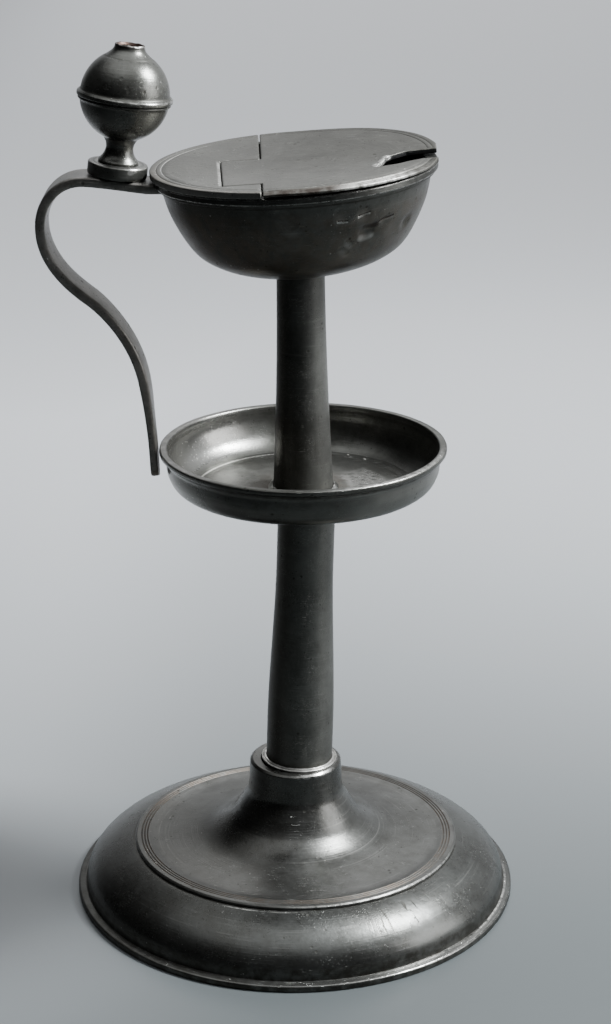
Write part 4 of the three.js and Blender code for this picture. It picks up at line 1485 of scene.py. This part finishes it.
class LAMP_OT_lid(bpy.types.Operator):
    """Builds the fixed half of the lid, the hinged flap with its slot and the pin"""
    bl_idname = "lamp.lid"
    bl_label = "Lid and hinge"

    def execute(self, context):
        s = settings()
        place = frames(s)
        self.fixed_half(s, place)
        self.flap(s, place)
        self.pin(s, place)
        return {"FINISHED"}

    def start_finish(self, s, place, name):
        """The dull and scratched metal of both halves, with painted shade where it faces down, painted
        glints on the incised lines on the left and a painted sheen towards the left and front
        """
        bowl, tones = s.bowl, s.finish
        metal = Metal(name, place.lid, tones.lid, tones)
        metal.gloss = 0.50
        metal.blotches((12.0, 3.2, 0.9), 0.50)
        metal.turning(0.008, 0.45, 0.12)
        metal.shade_facing_down(0.7)
        outer, inner = lid_lines(bowl)
        metal.stain_and_shade(metal.ring(outer + 0.7, 1.4) * metal.toward(-110, 90), 0.35, tones.brown)
        # Painted glints on the incised lines on the left, where their walls face the window
        metal.bright_metal_and_sheen(metal.ring(inner, 0.22) * metal.toward(180, 58), 0.75)
        metal.wear_and_highlight(metal.ring(outer, 0.16) * metal.toward(185, 60), 0.30)
        metal.pits(1.1, 0.60, 0.03, 3.0)
        metal.pits(2.6, 0.66, 0.04, 8.0)
        # Painted sheen: the lid lighter towards the left and the front
        sheen_left_front = metal.x.smooth(8.0, -32.0) * 0.12 + metal.y.smooth(4.0, -32.0) * 0.10
        metal.tone = metal.graph.mix(sheen_left_front, metal.tone, tones.bright)
        metal.relief = metal.relief + (metal.graph.noise(metal.spot, 1.6, 3, 0.65) - 0.5) * 0.11
        metal.specks(1.4, 0.72, 0.5)
        metal.streaks((0.1, 0.1, 0.2), 7.0, 0.13, 0.69, 0.30, 4.0)
        metal.streaks((0.0, 0.2, 1.3), 5.0, 0.11, 0.70, 0.30, 29.0)
        return metal

    def fixed_half(self, s, place):
        """The half on the rim, with the notch for the tongue and an ear on each side of it"""
        bowl, at = s.bowl, hinge(s.bowl)
        front, back = at.front - bowl.joint_gap * 2.2, at.back + bowl.joint_gap * 0.6
        end = bowl.joint_line - bowl.tongue_reach + NOTCH_SHORT
        end += bowl.tongue_skew * bowl.tongue_offset
        cut = bowl.joint_line - bowl.joint_gap / 2
        at_back, at_front, corners = seam(bowl, cut, end, front, back)
        rim = rim_arc(lid_radius(bowl), at_back + CUT_ROOM, math.tau - at_front - CUT_ROOM, 110)
        edge = soften([*rim, *corners])

        def top_at(x, y):
            return bowl.lid_thickness - line_depth(bowl, x, y)

        def low_at(x, y):
            return FIXED_LOW

        inner = cap_points(edge, lid_radius(bowl), lid_lines(bowl), 1.7)
        points, faces = join([
            slab(edge, inner, bowl.lid_thickness, 0.38, top_at, low_at),
            barrel(at, front - bowl.ear_length, front),
            barrel(at, back, back + bowl.ear_length),
        ])
        metal = self.start_finish(s, place, "lid_fixed_pewter")
        near, far = ((end - bowl.tongue_skew * y - 0.45, y, 1.7) for y in (front + 1, back - 1))
        metal.wear_and_highlight(metal.streak(near, far, 0.6), 0.75)
        make_piece("lid_back_half", points, faces, place.lid, "lid_fixed",
                   metal.finish(edge=0.8), sharp=LID_SHARP)

    def flap(self, s, place):
        """The lifting half, with its slot, its tongue and the knuckle under the tongue"""
        bowl, at = s.bowl, hinge(s.bowl)
        radius = lid_radius(bowl)
        end = bowl.joint_line - bowl.tongue_reach + TONGUE_SHORT
        end += bowl.tongue_skew * bowl.tongue_offset
        cut = bowl.joint_line + bowl.joint_gap / 2
        at_back, at_front, corners = seam(bowl, cut, end, at.front, at.back)
        slot_front, slot_back = (math.asin(y / radius) for y in SLOT_MOUTHS)
        edge = soften([
            *rim_arc(radius, slot_back, at_back - CUT_ROOM, 76),
            *reversed(corners),
            *rim_arc(radius, -at_front + CUT_ROOM, slot_front, 70),
            *SLOT,
        ])

        def lift(x, y):
            """How far the flap is warped up, less its torn spot beside the slot"""
            front_part = smooth(y, -14, -38) * smooth(x, -9, -4)
            back_part = smooth(x, -2, 32) * smooth(y, -6, 24)
            torn = TORN_DEPTH * max(0.0, 1 - math.hypot(x - TORN_X, y - TORN_Y) / TORN_REACH)
            return bowl.front_lift * front_part + bowl.back_lift * back_part - torn

        def worn_lip(x, y):
            """How much of the flap's edge is worn away at the front"""
            return 0.75 * smooth(math.hypot(x, y), radius - 3.6, radius) ** 1.5 * smooth(y, -9, -20)

        def top_at(x, y):
            return bowl.lid_thickness + lift(x, y) - worn_lip(x, y) - line_depth(bowl, x, y)

        def low_at(x, y):
            return FLAP_LOW + lift(x, y)

        inner = cap_points(edge, radius, lid_lines(bowl), 1.6)
        points, faces = join([
            slab(edge, inner, bowl.lid_thickness, 0.42, top_at, low_at),
            barrel(at, at.front, at.back),
        ])
        metal = self.start_finish(s, place, "lid_flap_pewter")
        lip = metal.radius.smooth(radius - 2.6, radius - 1.4)
        metal.stain_and_shade(lip * metal.toward(-92, 34), 0.95, s.finish.burnt)
        # Worn lip, brightest towards the window as a painted highlight
        metal.wear_and_highlight(lip * metal.toward(-55, 22), 0.95)
        metal.stain_and_shade(lip * metal.toward(-20, 26), 0.7)
        # Painted shade on the walls of the slot
        shaded_slot_walls = metal.facing_up().smooth(0.6, 0.3)
        metal.mark(shaded_slot_walls * metal.band(metal.y, -1.0, 8.0) * metal.x.smooth(25.0, 27.0), 0.9)
        torn_edge = metal.streak((23.0, -16.0, 1.2), (26.8, -4.4, 1.5), 1.9)
        metal.wear_and_highlight(torn_edge, 0.95)
        metal.relief = metal.relief + torn_edge * (metal.graph.noise(metal.spot, 0.7, 3, 0.7) * 0.6)
        make_piece("lid_leaf", points, faces, place.lid, "lid_flap",
                   metal.finish(edge=0.8), body="flap", sharp=LID_SHARP)

    def pin(self, s, place):
        """The pin through ears and knuckle"""
        bowl, at = s.bowl, hinge(s.bowl)
        reach = bowl.ear_length + bowl.joint_gap + bowl.pin_overhang
        radius = bowl.pin_radius
        low, high = at.front - reach, at.back + reach
        corners, faces = turn(outline([
            (0, low),
            (radius * 0.7, low, 0.2),
            (radius, low + 0.3, 0.1),
            (radius, high - 0.3, 0.1),
            (radius * 0.7, high, 0.2),
            (0, high),
        ], 1.2), 32)
        metal = Metal("pin_metal", place.lid, s.finish.brown, s.finish)
        metal.gloss = 0.5
        metal.blotches((3.0, 1.0, 0.4), 0.5)
        metal.streaks((0.0, 0.0, 1.57), 2.0, 0.1, 0.62, 0.5)
        make_piece("hinge_rod", lay_down(corners, at), faces, place.lid, "hinge_pin",
                   metal.finish())


# Handle

ARC_POINTS = 26
TAIL_POINTS = 16


def bezier(points, t):
    """A point of a cubic curve"""
    a, b, c, d = points
    u = 1 - t
    return a * u ** 3 + b * (3 * u * u * t) + c * (3 * u * t * t) + d * t ** 3


def strap_path(s, place):
    """Centre line of the strap as X and Z, from the bowl down to the pan"""
    handle, bowl, pan = s.handle, s.bowl, s.pan
    bowl_side = place.bowl @ Vector((-bowl.radius, 0, bowl.depth - bowl.band_height))
    pan_side = place.pan @ Vector((-pan.radius, 0, pan.depth))
    rim_x = pan_side.x - s.base.fit_gap - handle.thickness / 2

    def near_bowl(out, down):
        top = bowl_side.z + handle.rise
        return Vector((bowl_side.x - out * handle.reach, top - down * handle.sway))

    def near_pan(out, up):
        return Vector((rim_x - out * handle.flare, pan_side.z + up * handle.waist))

    entry = near_bowl(-handle.entry / handle.reach, 0.079)
    crest, back, sway = near_bowl(0.625, 0), near_bowl(1, 0.383), near_bowl(0.6, 1)
    waist, rim, tail = near_pan(1, 1), near_pan(0, 0), near_pan(-0.15, -handle.tail / handle.waist)
    arcs = [
        (entry, near_bowl(0.17, 0.054), near_bowl(0.415, 0.011), crest),
        (crest, near_bowl(0.852, -0.006), near_bowl(1, 0.172), back),
        (back, near_bowl(1, 0.651), near_bowl(0.81, 0.848), sway),
        (sway, near_bowl(0.384, 1.175), near_pan(1.667, 1.398), waist),
        (waist, near_pan(0.364, 0.602), near_pan(0.091, 0.177), rim),
    ]
    path = [bezier(points, k / ARC_POINTS) for points in arcs for k in range(ARC_POINTS)]
    path += [rim.lerp(tail, math.sin(math.pi / 2 * k / TAIL_POINTS))
             for k in range(TAIL_POINTS + 1)]
    return path, bowl_side, pan_side


def strap_section(half_width, half_thick, crown):
    """Across and out offsets of the strap's rounded section, always with the same number of points"""
    rounding = min(0.75, half_width * 0.6, half_thick * 0.8)
    flat = half_width - rounding
    section = []
    for corner, (side, level) in enumerate(((-1, -1), (1, -1), (1, 1), (-1, 1))):
        face = half_thick - (crown if level > 0 else 0)
        centre = Vector((side * flat, level * (face - rounding)))
        for k in range(5):
            turn_by = math.pi + math.pi / 2 * (corner + k / 4)
            section.append(centre + rounding * heading(turn_by))
        if corner in (0, 2):
            for k in range(1, 6):
                across = flat * (1 - k / 3)
                bulge = crown * (1 - (across / flat) ** 2)
                height = -half_thick if corner == 0 else half_thick - crown + bulge
                section.append(Vector((-across if corner == 0 else across, height)))
    return section


CROWN = 0.25
STRAP_SHARP = 60

# The strap's end keeps this share of its thickness
END_SHARE = 0.35

# Share by which the strap's inner side is thicker, and the heights above the pan where it gets so
INNER_SWELL = 0.5
SWELL_HEIGHTS = (6, 22)

# Room between the strap's end and the bowl, and the rounds in which its points settle there
STRAP_GAP = 0.12
FIT_ROUNDS = 8


class LAMP_OT_handle(bpy.types.Operator):
    """Builds the bent strap handle"""
    bl_idname = "lamp.handle"
    bl_label = "Handle strap"

    def execute(self, context):
        s = settings()
        place = frames(s)
        handle = s.handle
        path, bowl_side, pan_side = strap_path(s, place)
        half, tip = handle.width / 2, handle.tip_width / 2
        shoulder, low = bowl_side.z - handle.taper_drop, pan_side.z - handle.tail
        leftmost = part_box("handle_strap")[0][0] / MM + 0.05

        def half_width(z):
            """Half the strap's width: parallel, then tapered, then round at the tip"""
            if z > shoulder:
                return half
            if z > low + tip:
                return tip + (half - tip) * (z - low - tip) / (shoulder - low - tip)
            return math.sqrt(max(tip * tip - (low + tip - z) ** 2, 0.01))

        rows = []
        for i, middle in enumerate(path):
            along = (path[min(i + 1, len(path) - 1)] - path[max(i - 1, 0)]).normalized()
            outwards = Vector((-along.y, along.x))
            wide = half_width(middle.y)
            thin = handle.thickness / 2 * (END_SHARE + (1 - END_SHARE) * smooth(wide, 0.1, 1.6))
            swell = smooth(middle.y, *(pan_side.z + height for height in SWELL_HEIGHTS))
            inner_side = 1 + INNER_SWELL * swell
            row = []
            for across in strap_section(wide, thin, CROWN):
                across.y *= inner_side if across.y > 0 else 1.0
                shift = outwards * across.y
                point = Vector((middle.x + shift.x, across.x, middle.y + shift.y))
                point = hand_made(point, 0.12, 15.0)
                row.append(Vector((max(point.x, leftmost), point.y, point.z)))
            rows.append(row)
        rows = self.fit_to_bowl(s, place, rows)
        count = len(rows[0])
        corners = [point for row in rows for point in row]
        faces = ring_faces(len(rows), count)
        for row, turned_row in ((0, False), (len(rows) - 1, True)):
            corners.append(sum(rows[row], Vector()) / count)
            for k in range(count):
                pair = (row * count + k, row * count + (k + 1) % count)
                faces.append((len(corners) - 1, *(pair if turned_row else reversed(pair))))
        make_piece("strap_bent", corners, faces, Matrix.Identity(4), "handle_strap",
                   self.finish(s, low), sharp=STRAP_SHARP)
        return {"FINISHED"}

    def fit_to_bowl(self, s, place, rows):
        """Ends the strap on the wall and the band of the bowl"""
        bowl = s.bowl
        into_bowl = place.bowl.inverted()
        wall_points = bowl_wall(s)
        foot = bowl.depth - bowl.band_height

        def room(point):
            local = into_bowl @ point
            stop = bowl_radius_at(wall_points, local.z)
            if local.z > foot - 0.1:
                stop += bowl.band_width * smooth(local.z, foot - 0.1, foot + 1.2)
            return math.hypot(local.x, local.y) - stop - STRAP_GAP

        first = next(i for i, row in enumerate(rows) if min(room(point) for point in row) > 0.5)
        ending = []
        for point in rows[first]:
            for _ in range(FIT_ROUNDS):
                point = point + Vector((room(point) * 0.9, 0, 0))
            ending.append(point)
        return [ending, *rows[first:]]

    def finish(self, s, low):
        tones = s.finish
        metal = Metal("strap_metal", Matrix.Identity(4), tones.strap, tones)
        metal.gloss = 0.38
        metal.blotches((14.0, 4.0, 1.0), 0.6)
        # Painted shade where the strap faces down
        metal.shade_facing_down(0.3)
        metal.pits(2.2, 0.58, 0.12, 2.0)
        metal.pits(1.0, 0.60, 0.05, 9.0)
        metal.streaks((0.1, 1.3, 0.2), 9.0, 0.14, 0.68, 0.35)
        metal.streaks((0.2, 0.9, 1.2), 6.0, 0.12, 0.68, 0.30, 13.0)
        metal.wear_and_highlight((metal.y * metal.y).smooth(34.0, 46.0), 0.12)
        metal.stain_and_shade(metal.z.smooth(low + 7.0, low + 1.0), 0.75, tones.brown)
        return metal.finish(metallic=0.6)


# Knop

LOWER_STEPS, UPPER_STEPS = 22, 24

# Side of the broken neck: how far out from its radius and how far up from its foot
FINIAL_SIDE = ((1.9, -0.82), (1.05, -0.1), (0.4, 0.65), (0.08, 1.4))

# Small holes eaten into the front of the ball, in the frame of the knop
BALL_HOLES = (
    (-0.9, -11.3, 31.3), (1.0, -12.2, 29.0), (1.5, -12.4, 28.1), (9.3, -7.9, 29.5), (5.9, -11.0, 28.2))

# The knop's foot is lifted by this slope of the bent strap under it
STRAP_SLOPE = math.radians(1)


class LAMP_OT_knop(bpy.types.Operator):
    """Builds the knop: foot disc, neck and ball halves, broken finial and its core"""
    bl_idname = "lamp.knop"
    bl_label = "Knop"

    def execute(self, context):
        s = settings()
        place = frames(s)
        handle, base = s.handle, s.base
        matrix = self.knop_frame(s, place)
        seat = handle.thickness / 2 + base.solder_gap + handle.foot_radius * math.tan(STRAP_SLOPE)
        foot_top = seat + handle.foot_height
        neck_low = foot_top + base.fit_gap
        centre = neck_low + handle.neck_height + handle.ball_radius
        self.foot(s, matrix, seat, foot_top)
        self.lower(s, matrix, neck_low, centre)
        finial_top = self.upper(s, matrix, centre)
        self.core(s, matrix, finial_top)
        return {"FINISHED"}

    def knop_frame(self, s, place):
        """Where the knop stands square on the strap, beyond the edge of the lid"""
        handle, bowl = s.handle, s.bowl
        path, _, _ = strap_path(s, place)
        lid_reach = bowl.band_width + bowl.lid_overhang
        left = handle.entry + lid_reach + handle.foot_radius + handle.knop_space
        for here, following in zip(path, path[1:]):
            run = (following - here).length
            if left <= run:
                spot = here.lerp(following, left / run)
                way = (following - here).normalized()
                return step(spot.x, spot.y, math.atan2(way.y, -way.x))
            left -= run

    def ball_finish(self, s, name, matrix, centre):
        """The finish of both ball halves, with the bead between two dark lines, rubbed and brightest
        towards the window as a painted highlight
        """
        radius = s.handle.ball_radius
        metal = turned_pewter(name, matrix, s.finish, strength=0.6, gloss=0.28, shade_away_from_window=0.1)
        bead = metal.level(centre + 0.35, 0.45) * metal.radius.smooth(radius + 0.2, radius + 0.6)
        # Painted highlight on the bead's side towards the window, partly rubbed metal
        metal.wear_and_highlight(bead * metal.toward(-50, 70), 0.5)
        metal.stain_and_shade(metal.level(centre - 1.1, 0.3), 0.45)
        metal.stain_and_shade(metal.level(centre + 1.3, 0.35), 0.6)
        return metal

    def foot(self, s, matrix, seat, foot_top):
        """The turned disc on the strap"""
        handle = s.handle
        radius = handle.foot_radius
        points = outline([
            (0, seat - 0.2),
            (radius - 0.2, seat - 0.2, 0.3),
            (radius, seat + 0.6, 0.4),
            (radius, foot_top, 0.55),
            (radius - 1.3, foot_top, 0.1),
            (radius - 1.55, foot_top - 0.12, 0.08),
            (radius - 1.8, foot_top, 0.1),
            (0, foot_top),
        ], 0.8)
        metal = turned_pewter("knop_foot_pewter", matrix, s.finish, strength=0.5, gloss=0.42)
        # Painted light: the top face of the foot lighter
        metal.bright_metal_and_sheen(metal.z.smooth(foot_top - 0.3, foot_top - 0.05), 0.12)
        metal.wear_and_highlight(metal.ring(radius - 0.3, 0.4) * metal.z.smooth(foot_top - 1.2, foot_top - 0.2), 0.2)
        # Painted highlight on the foot's edge towards the window
        metal.wear_and_highlight(metal.streak((4.2, -7.6, 4.4), (5.4, -6.6, 4.9), 1.2), 0.9)
        metal.wear_and_highlight(metal.ring(handle.neck_radius + handle.neck_flare + 0.3, 0.35), 0.4)
        turned_piece("foot_disc", points, matrix, "knop_foot", metal.finish(), segments=110)

    def lower(self, s, matrix, low, centre):
        """The neck and the lower half of the ball"""
        handle = s.handle
        radius, wall = handle.ball_radius, handle.ball_wall
        neck = handle.neck_radius
        seam = centre - handle.bead
        start = -math.acos((neck + handle.neck_flare * 0.26) / radius)
        end = math.asin((seam - 0.9 - centre) / radius)
        outside = arc(radius, radius, centre, start, end, LOWER_STEPS)
        inside = arc(radius - wall, radius - wall, centre, start, end, LOWER_STEPS)
        neck_side = spline([
            (neck + handle.neck_flare * 0.84, low + handle.neck_height * 0.12),
            (neck + handle.neck_flare * 0.46, low + handle.neck_height * 0.26),
            (neck + handle.neck_flare * 0.16, low + handle.neck_height * 0.44),
            (neck - 0.03, low + handle.neck_height * 0.68),
            (neck + handle.neck_flare * 0.10, low + handle.neck_height * 0.92),
        ], 5)
        points = outline([
            (0, low - 0.22),
            (neck + handle.neck_flare, low - 0.22, 0.15),
            (neck + handle.neck_flare, low + handle.neck_height * 0.05, 0.2),
            *neck_side,
            *outside[1:],
            (radius + 0.05, seam - 0.85, 0.2),
            (radius + 0.50, seam - 0.55, 0.25),
            (radius + 0.45, seam - 0.10, 0.2),
            (radius - 0.05, seam - 0.02, 0.08),
            (radius - wall, seam - 0.04, 0.1),
            *reversed(inside),
            (0, inside[0][1]),
        ], 0.8)
        metal = self.ball_finish(s, "knop_lower_pewter", matrix, centre)
        metal.stain_and_shade(metal.level(low + handle.neck_height, 1.0), 0.3)
        turned_piece("ball_lower", points, matrix, "knop_lower",
                     metal.finish(metallic=0.78), segments=130)

    def upper(self, s, matrix, centre):
        """The upper half of the ball with its bead and broken neck; gives the height of its top"""
        handle = s.handle
        radius, wall, top = handle.ball_radius, handle.ball_wall, handle.ball_top
        bead = handle.bead
        low = centre - bead + 0.04
        finial, finial_wall = handle.finial_radius, handle.finial_wall
        end = math.acos(finial / radius)
        inner_end = math.acos((finial - finial_wall) / (radius - wall))
        start = math.asin((bead * 1.25) / top)
        finial_top = centre + top * math.sin(end) + handle.finial_height
        finial_low = finial_top - handle.finial_height
        finial_side = [(finial + out, finial_low + up) for out, up in FINIAL_SIDE]
        outside = arc(radius, top, centre, start, end, UPPER_STEPS)
        inside = arc(radius - wall, top - wall, centre, start, inner_end, UPPER_STEPS)
        line = next(i for i, point in enumerate(outside) if point[0] < finial + 3.0)
        line_radius, line_height = outside[line]
        outside[line] = (line_radius - 0.02, line_height - 0.07, 0.05)
        points = outline([
            (radius - wall, low, 0.1),
            (radius + 0.35, low, 0.25),
            (radius + bead, low + bead * 0.35, 0.35),
            (radius + bead, centre + bead * 0.45, 0.45),
            (radius + bead * 0.35, centre + bead * 1.05, 0.2),
            *[place for place in outside if place[0] > finial + 2.0],
            *spline([*finial_side, (finial + 0.05, finial_top - 0.25)], 4),
            (finial - 0.15, finial_top, 0.15),
            (finial - finial_wall * 0.6, finial_top, 0.15),
            (finial - finial_wall, finial_top - 0.8, 0.3),
            *reversed(inside),
        ], 0.8, True)

        def broken(point):
            over = smooth(point.z, finial_top - 1.4, finial_top)
            spot = Vector((point.x, point.y, 0)) / 2.4 + Vector((3, 1, 2))
            torn = -abs(noise.noise(spot)) * 0.5 - 0.12
            side = noise.noise_vector(point / 2.0) * 0.14
            return point + (Vector((0, 0, torn)) + side) * over

        metal = self.ball_finish(s, "knop_upper_pewter", matrix, centre)
        for x, y, z in BALL_HOLES:
            hole = metal.streak((x, y, z), (x + 0.2, y, z + 0.2), 0.55)
            metal.stain_and_shade(hole, 1.0)
            metal.relief = metal.relief - hole * 0.06
        metal.stain_and_shade(metal.z.smooth(finial_top - 1.2, finial_top - 0.5), 0.95, s.finish.broken)
        # Bright broken edge, brightest towards the window as a painted highlight
        metal.wear_and_highlight(metal.z.smooth(finial_top - 0.9, finial_top - 0.3) * metal.toward(-50, 60), 0.7)
        metal.stain_and_shade(metal.level(line_height, 0.3), 0.5)
        rust = metal.radius.smooth(finial - 0.5, finial - 0.9)
        metal.stain_and_shade(rust * metal.z.smooth(finial_top - 2, finial_top - 0.6), 0.9, s.finish.rust)
        turned_piece("ball_upper", points, matrix, "knop_upper",
                     metal.finish(metallic=0.78), segments=130, ring=True, shape=broken)
        return finial_top

    def core(self, s, matrix, finial_top):
        """The corroded core inside the broken neck"""
        handle = s.handle
        top = finial_top - handle.core_drop
        radius = handle.finial_radius - handle.finial_wall - 0.25
        low = top - handle.core_length
        points = outline([
            (0, low),
            (radius * 0.8, low, 0.3),
            (radius, low + 3, 0.3),
            (radius, top - 0.3, 0.4),
            (radius * 0.6, top, 0.4),
            (0, top - 0.5),
        ], 0.3)

        def eaten(point):
            rough = noise.noise_vector(point / 1.1) * 0.22 + noise.noise_vector(point / 0.45) * 0.08
            inward = Vector((point.x, point.y, 0)) * -0.06
            return point + rough * smooth(math.hypot(point.x, point.y), radius, radius * 0.6) + inward

        metal = Metal("corroded_core", matrix, s.finish.rust, s.finish)
        metal.gloss = 0.85
        metal.blotches((2.0, 0.8, 0.3), 0.5)
        metal.relief = metal.relief + metal.graph.noise(metal.spot, 0.5, 4, 0.7) * 0.3
        turned_piece("core_corroded", points, matrix, "finial_core",
                     metal.finish(metallic=0.1), segments=64, shape=eaten)


# Stage

# Lights: name, place and size in metres, power in watts and colour
LIGHTS = (
    ("window_light", (0.405, 0.03, 0.62), (0.18, 0.17), 14.0, (0.93, 0.97, 1.0)),
    ("low_right_light", (0.95, -0.20, 0.45), (0.60, 0.55), 6.0, (0.97, 0.98, 1.0)),
    ("far_light", (0.05, 2.6, 1.9), (1.6, 1.6), 24.0, (0.97, 0.98, 1.0)),
)
FAR_AWAY = 1.5
LAMP_MIDDLE = Vector((0, 0, 0.13))
SENSOR_WIDTH = 36

# The world: its colour, and its strength overhead, behind the lamp and everywhere
SKY = (0.94, 0.97, 1.0, 1)
OVERHEAD, BEHIND, EVERYWHERE = 1.5, 0.62, 0.012

# Radii of the floor's rings in metres, out to its edge
FLOOR_RINGS = (0, 0.1, 0.2, 0.3, 0.45, 0.7, 1.2, 2.5)


class LAMP_OT_stage(bpy.types.Operator):
    """Makes the pale floor, the soft lights and the camera"""
    bl_idname = "lamp.stage"
    bl_label = "Stage"

    def execute(self, context):
        s = settings()
        self.floor(s)
        self.world()
        for light in LIGHTS:
            self.light(*light)
        self.camera(s)
        return {"FINISHED"}

    def floor(self, s):
        """A round floor with painted shade: darker under the lamp, in front and on the left, and pale far
        behind
        """
        rings = (*FLOOR_RINGS, s.stage.floor_radius * MM)
        corners, faces = turn([Vector((radius / MM, 0)) for radius in rings], 96)
        mesh = bpy.data.meshes.new("floor")
        mesh.from_pydata([point * MM for point in corners], [], faces)
        floor = bpy.data.objects.new("floor", mesh)
        bpy.context.scene.collection.objects.link(floor)
        graph = Graph(bpy.data.materials.new("floor_paint"))
        spot = graph.node("ShaderNodeTexCoord", {}, {}, "Object")
        x, y, _ = spot.parts()
        # Painted light: a lighter patch on the near left that fills in the lamp's cast shadow
        beside = x.smooth(0.0, -0.12) * y.smooth(-0.16, -0.02)
        far = (y.smooth(-0.08, 0.72) + beside * 0.20).held()
        away = 1 - (1 - x.smooth(-0.22, -0.60)) * (1 - y.smooth(-0.17, -0.5))
        grain = graph.noise(spot, 0.004, 3, 0.6)
        tones = s.finish
        tone = graph.mix(far, tones.floor, tones.far_floor)
        tone = graph.mix((grain - 0.5).held() * 0.05, tone, tones.floor_grain)
        # Painted shade: the floor dimmer in front and on the left
        tone = graph.mix(away * 0.55, tone, tones.floor_shade)
        tone = graph.mix((0.0 - x - y * 0.14).smooth(0.16, 0.50) * 0.3, tone, tones.floor_shade)
        surface = graph.node("ShaderNodeBsdfPrincipled", {}, {
            "Base Color": tone, "Roughness": 0.45, "Specular IOR Level": 0.3})
        mesh.materials.append(graph.output("ShaderNodeOutputMaterial", surface))
        if mesh.polygons[0].normal.z < 0:
            mesh.flip_normals()

    def world(self):
        """Soft light from above and behind, dim at the front and the left"""
        world = bpy.data.worlds.new("studio")
        bpy.context.scene.world = world
        graph = Graph(world)
        way = graph.node("ShaderNodeTexCoord", {}, {}, "Generated")
        x, y, z = way.parts()
        overhead = z.smooth(0.66, 0.97) * OVERHEAD
        behind = (y + x * 0.6).smooth(0.12, 0.78) * z.smooth(0.95, 0.5) * BEHIND
        strength = overhead + behind + EVERYWHERE
        light = graph.node("ShaderNodeBackground", {}, {"Color": SKY, "Strength": strength})
        graph.output("ShaderNodeOutputWorld", light)

    def light(self, name, place, size, power, tone):
        """A soft light that faces the middle of the lamp, or the floor below it when it is far away"""
        data = bpy.data.lights.new(name, "AREA")
        data.shape = "RECTANGLE"
        data.size, data.size_y = size
        data.energy = power
        data.color = tone
        lamp = bpy.data.objects.new(name, data)
        lamp.location = place
        below = lamp.location * Vector((1, 1, 0))
        aim = LAMP_MIDDLE if lamp.location.length < FAR_AWAY else below
        lamp.rotation_euler = (aim - lamp.location).to_track_quat("-Z", "Y").to_euler()
        bpy.context.scene.collection.objects.link(lamp)

    def camera(self, s):
        stage = s.stage
        data = bpy.data.cameras.new("camera")
        data.lens = stage.lens
        data.sensor_width = SENSOR_WIDTH
        camera = bpy.data.objects.new("camera", data)
        camera.location = Vector((stage.camera_side, -stage.camera_back, stage.camera_height)) * MM
        camera.rotation_euler = (math.pi / 2 - stage.camera_pitch, 0, 0)
        bpy.context.scene.collection.objects.link(camera)
        bpy.context.scene.camera = camera


class LAMP_PT_panel(bpy.types.Panel):
    """Buttons that build the lamp, piece by piece"""
    bl_label = "Pewter Oil Lamp"
    bl_idname = "LAMP_PT_panel"
    bl_space_type = "VIEW_3D"
    bl_region_type = "UI"
    bl_category = "Oil Lamp"

    def draw(self, context):
        for operator in OPERATORS:
            self.layout.operator(operator.bl_idname)
        lamp = context.scene.oil_lamp
        for part in own_names(lamp):
            box = self.layout.box()
            box.label(text=part.title())
            for name in own_names(getattr(lamp, part)):
                box.prop(getattr(lamp, part), name)


OPERATORS = (
    LAMP_OT_stage,
    LAMP_OT_base,
    LAMP_OT_stems,
    LAMP_OT_pan,
    LAMP_OT_bowl,
    LAMP_OT_lid,
    LAMP_OT_handle,
    LAMP_OT_knop,
)
GROUPS = (BaseSizes, StemSizes, PanSizes, BowlSizes, HandleSizes, FinishTones, StageSizes, LampSettings)


def register():
    for item in (*GROUPS, *OPERATORS, LAMP_PT_panel):
        bpy.utils.register_class(item)
    bpy.types.Scene.oil_lamp = bpy.props.PointerProperty(type=LampSettings)


def unregister():
    del bpy.types.Scene.oil_lamp
    for item in reversed((*GROUPS, *OPERATORS, LAMP_PT_panel)):
        bpy.utils.unregister_class(item)


def main():
    register()
    noise.seed_set(NOISE_SEED)
    bpy.ops.lamp.stage()
    bpy.ops.lamp.base()
    bpy.ops.lamp.stems()
    bpy.ops.lamp.pan()
    bpy.ops.lamp.bowl()
    bpy.ops.lamp.lid()
    bpy.ops.lamp.handle()
    bpy.ops.lamp.knop()


if __name__ == "__main__":
    main()
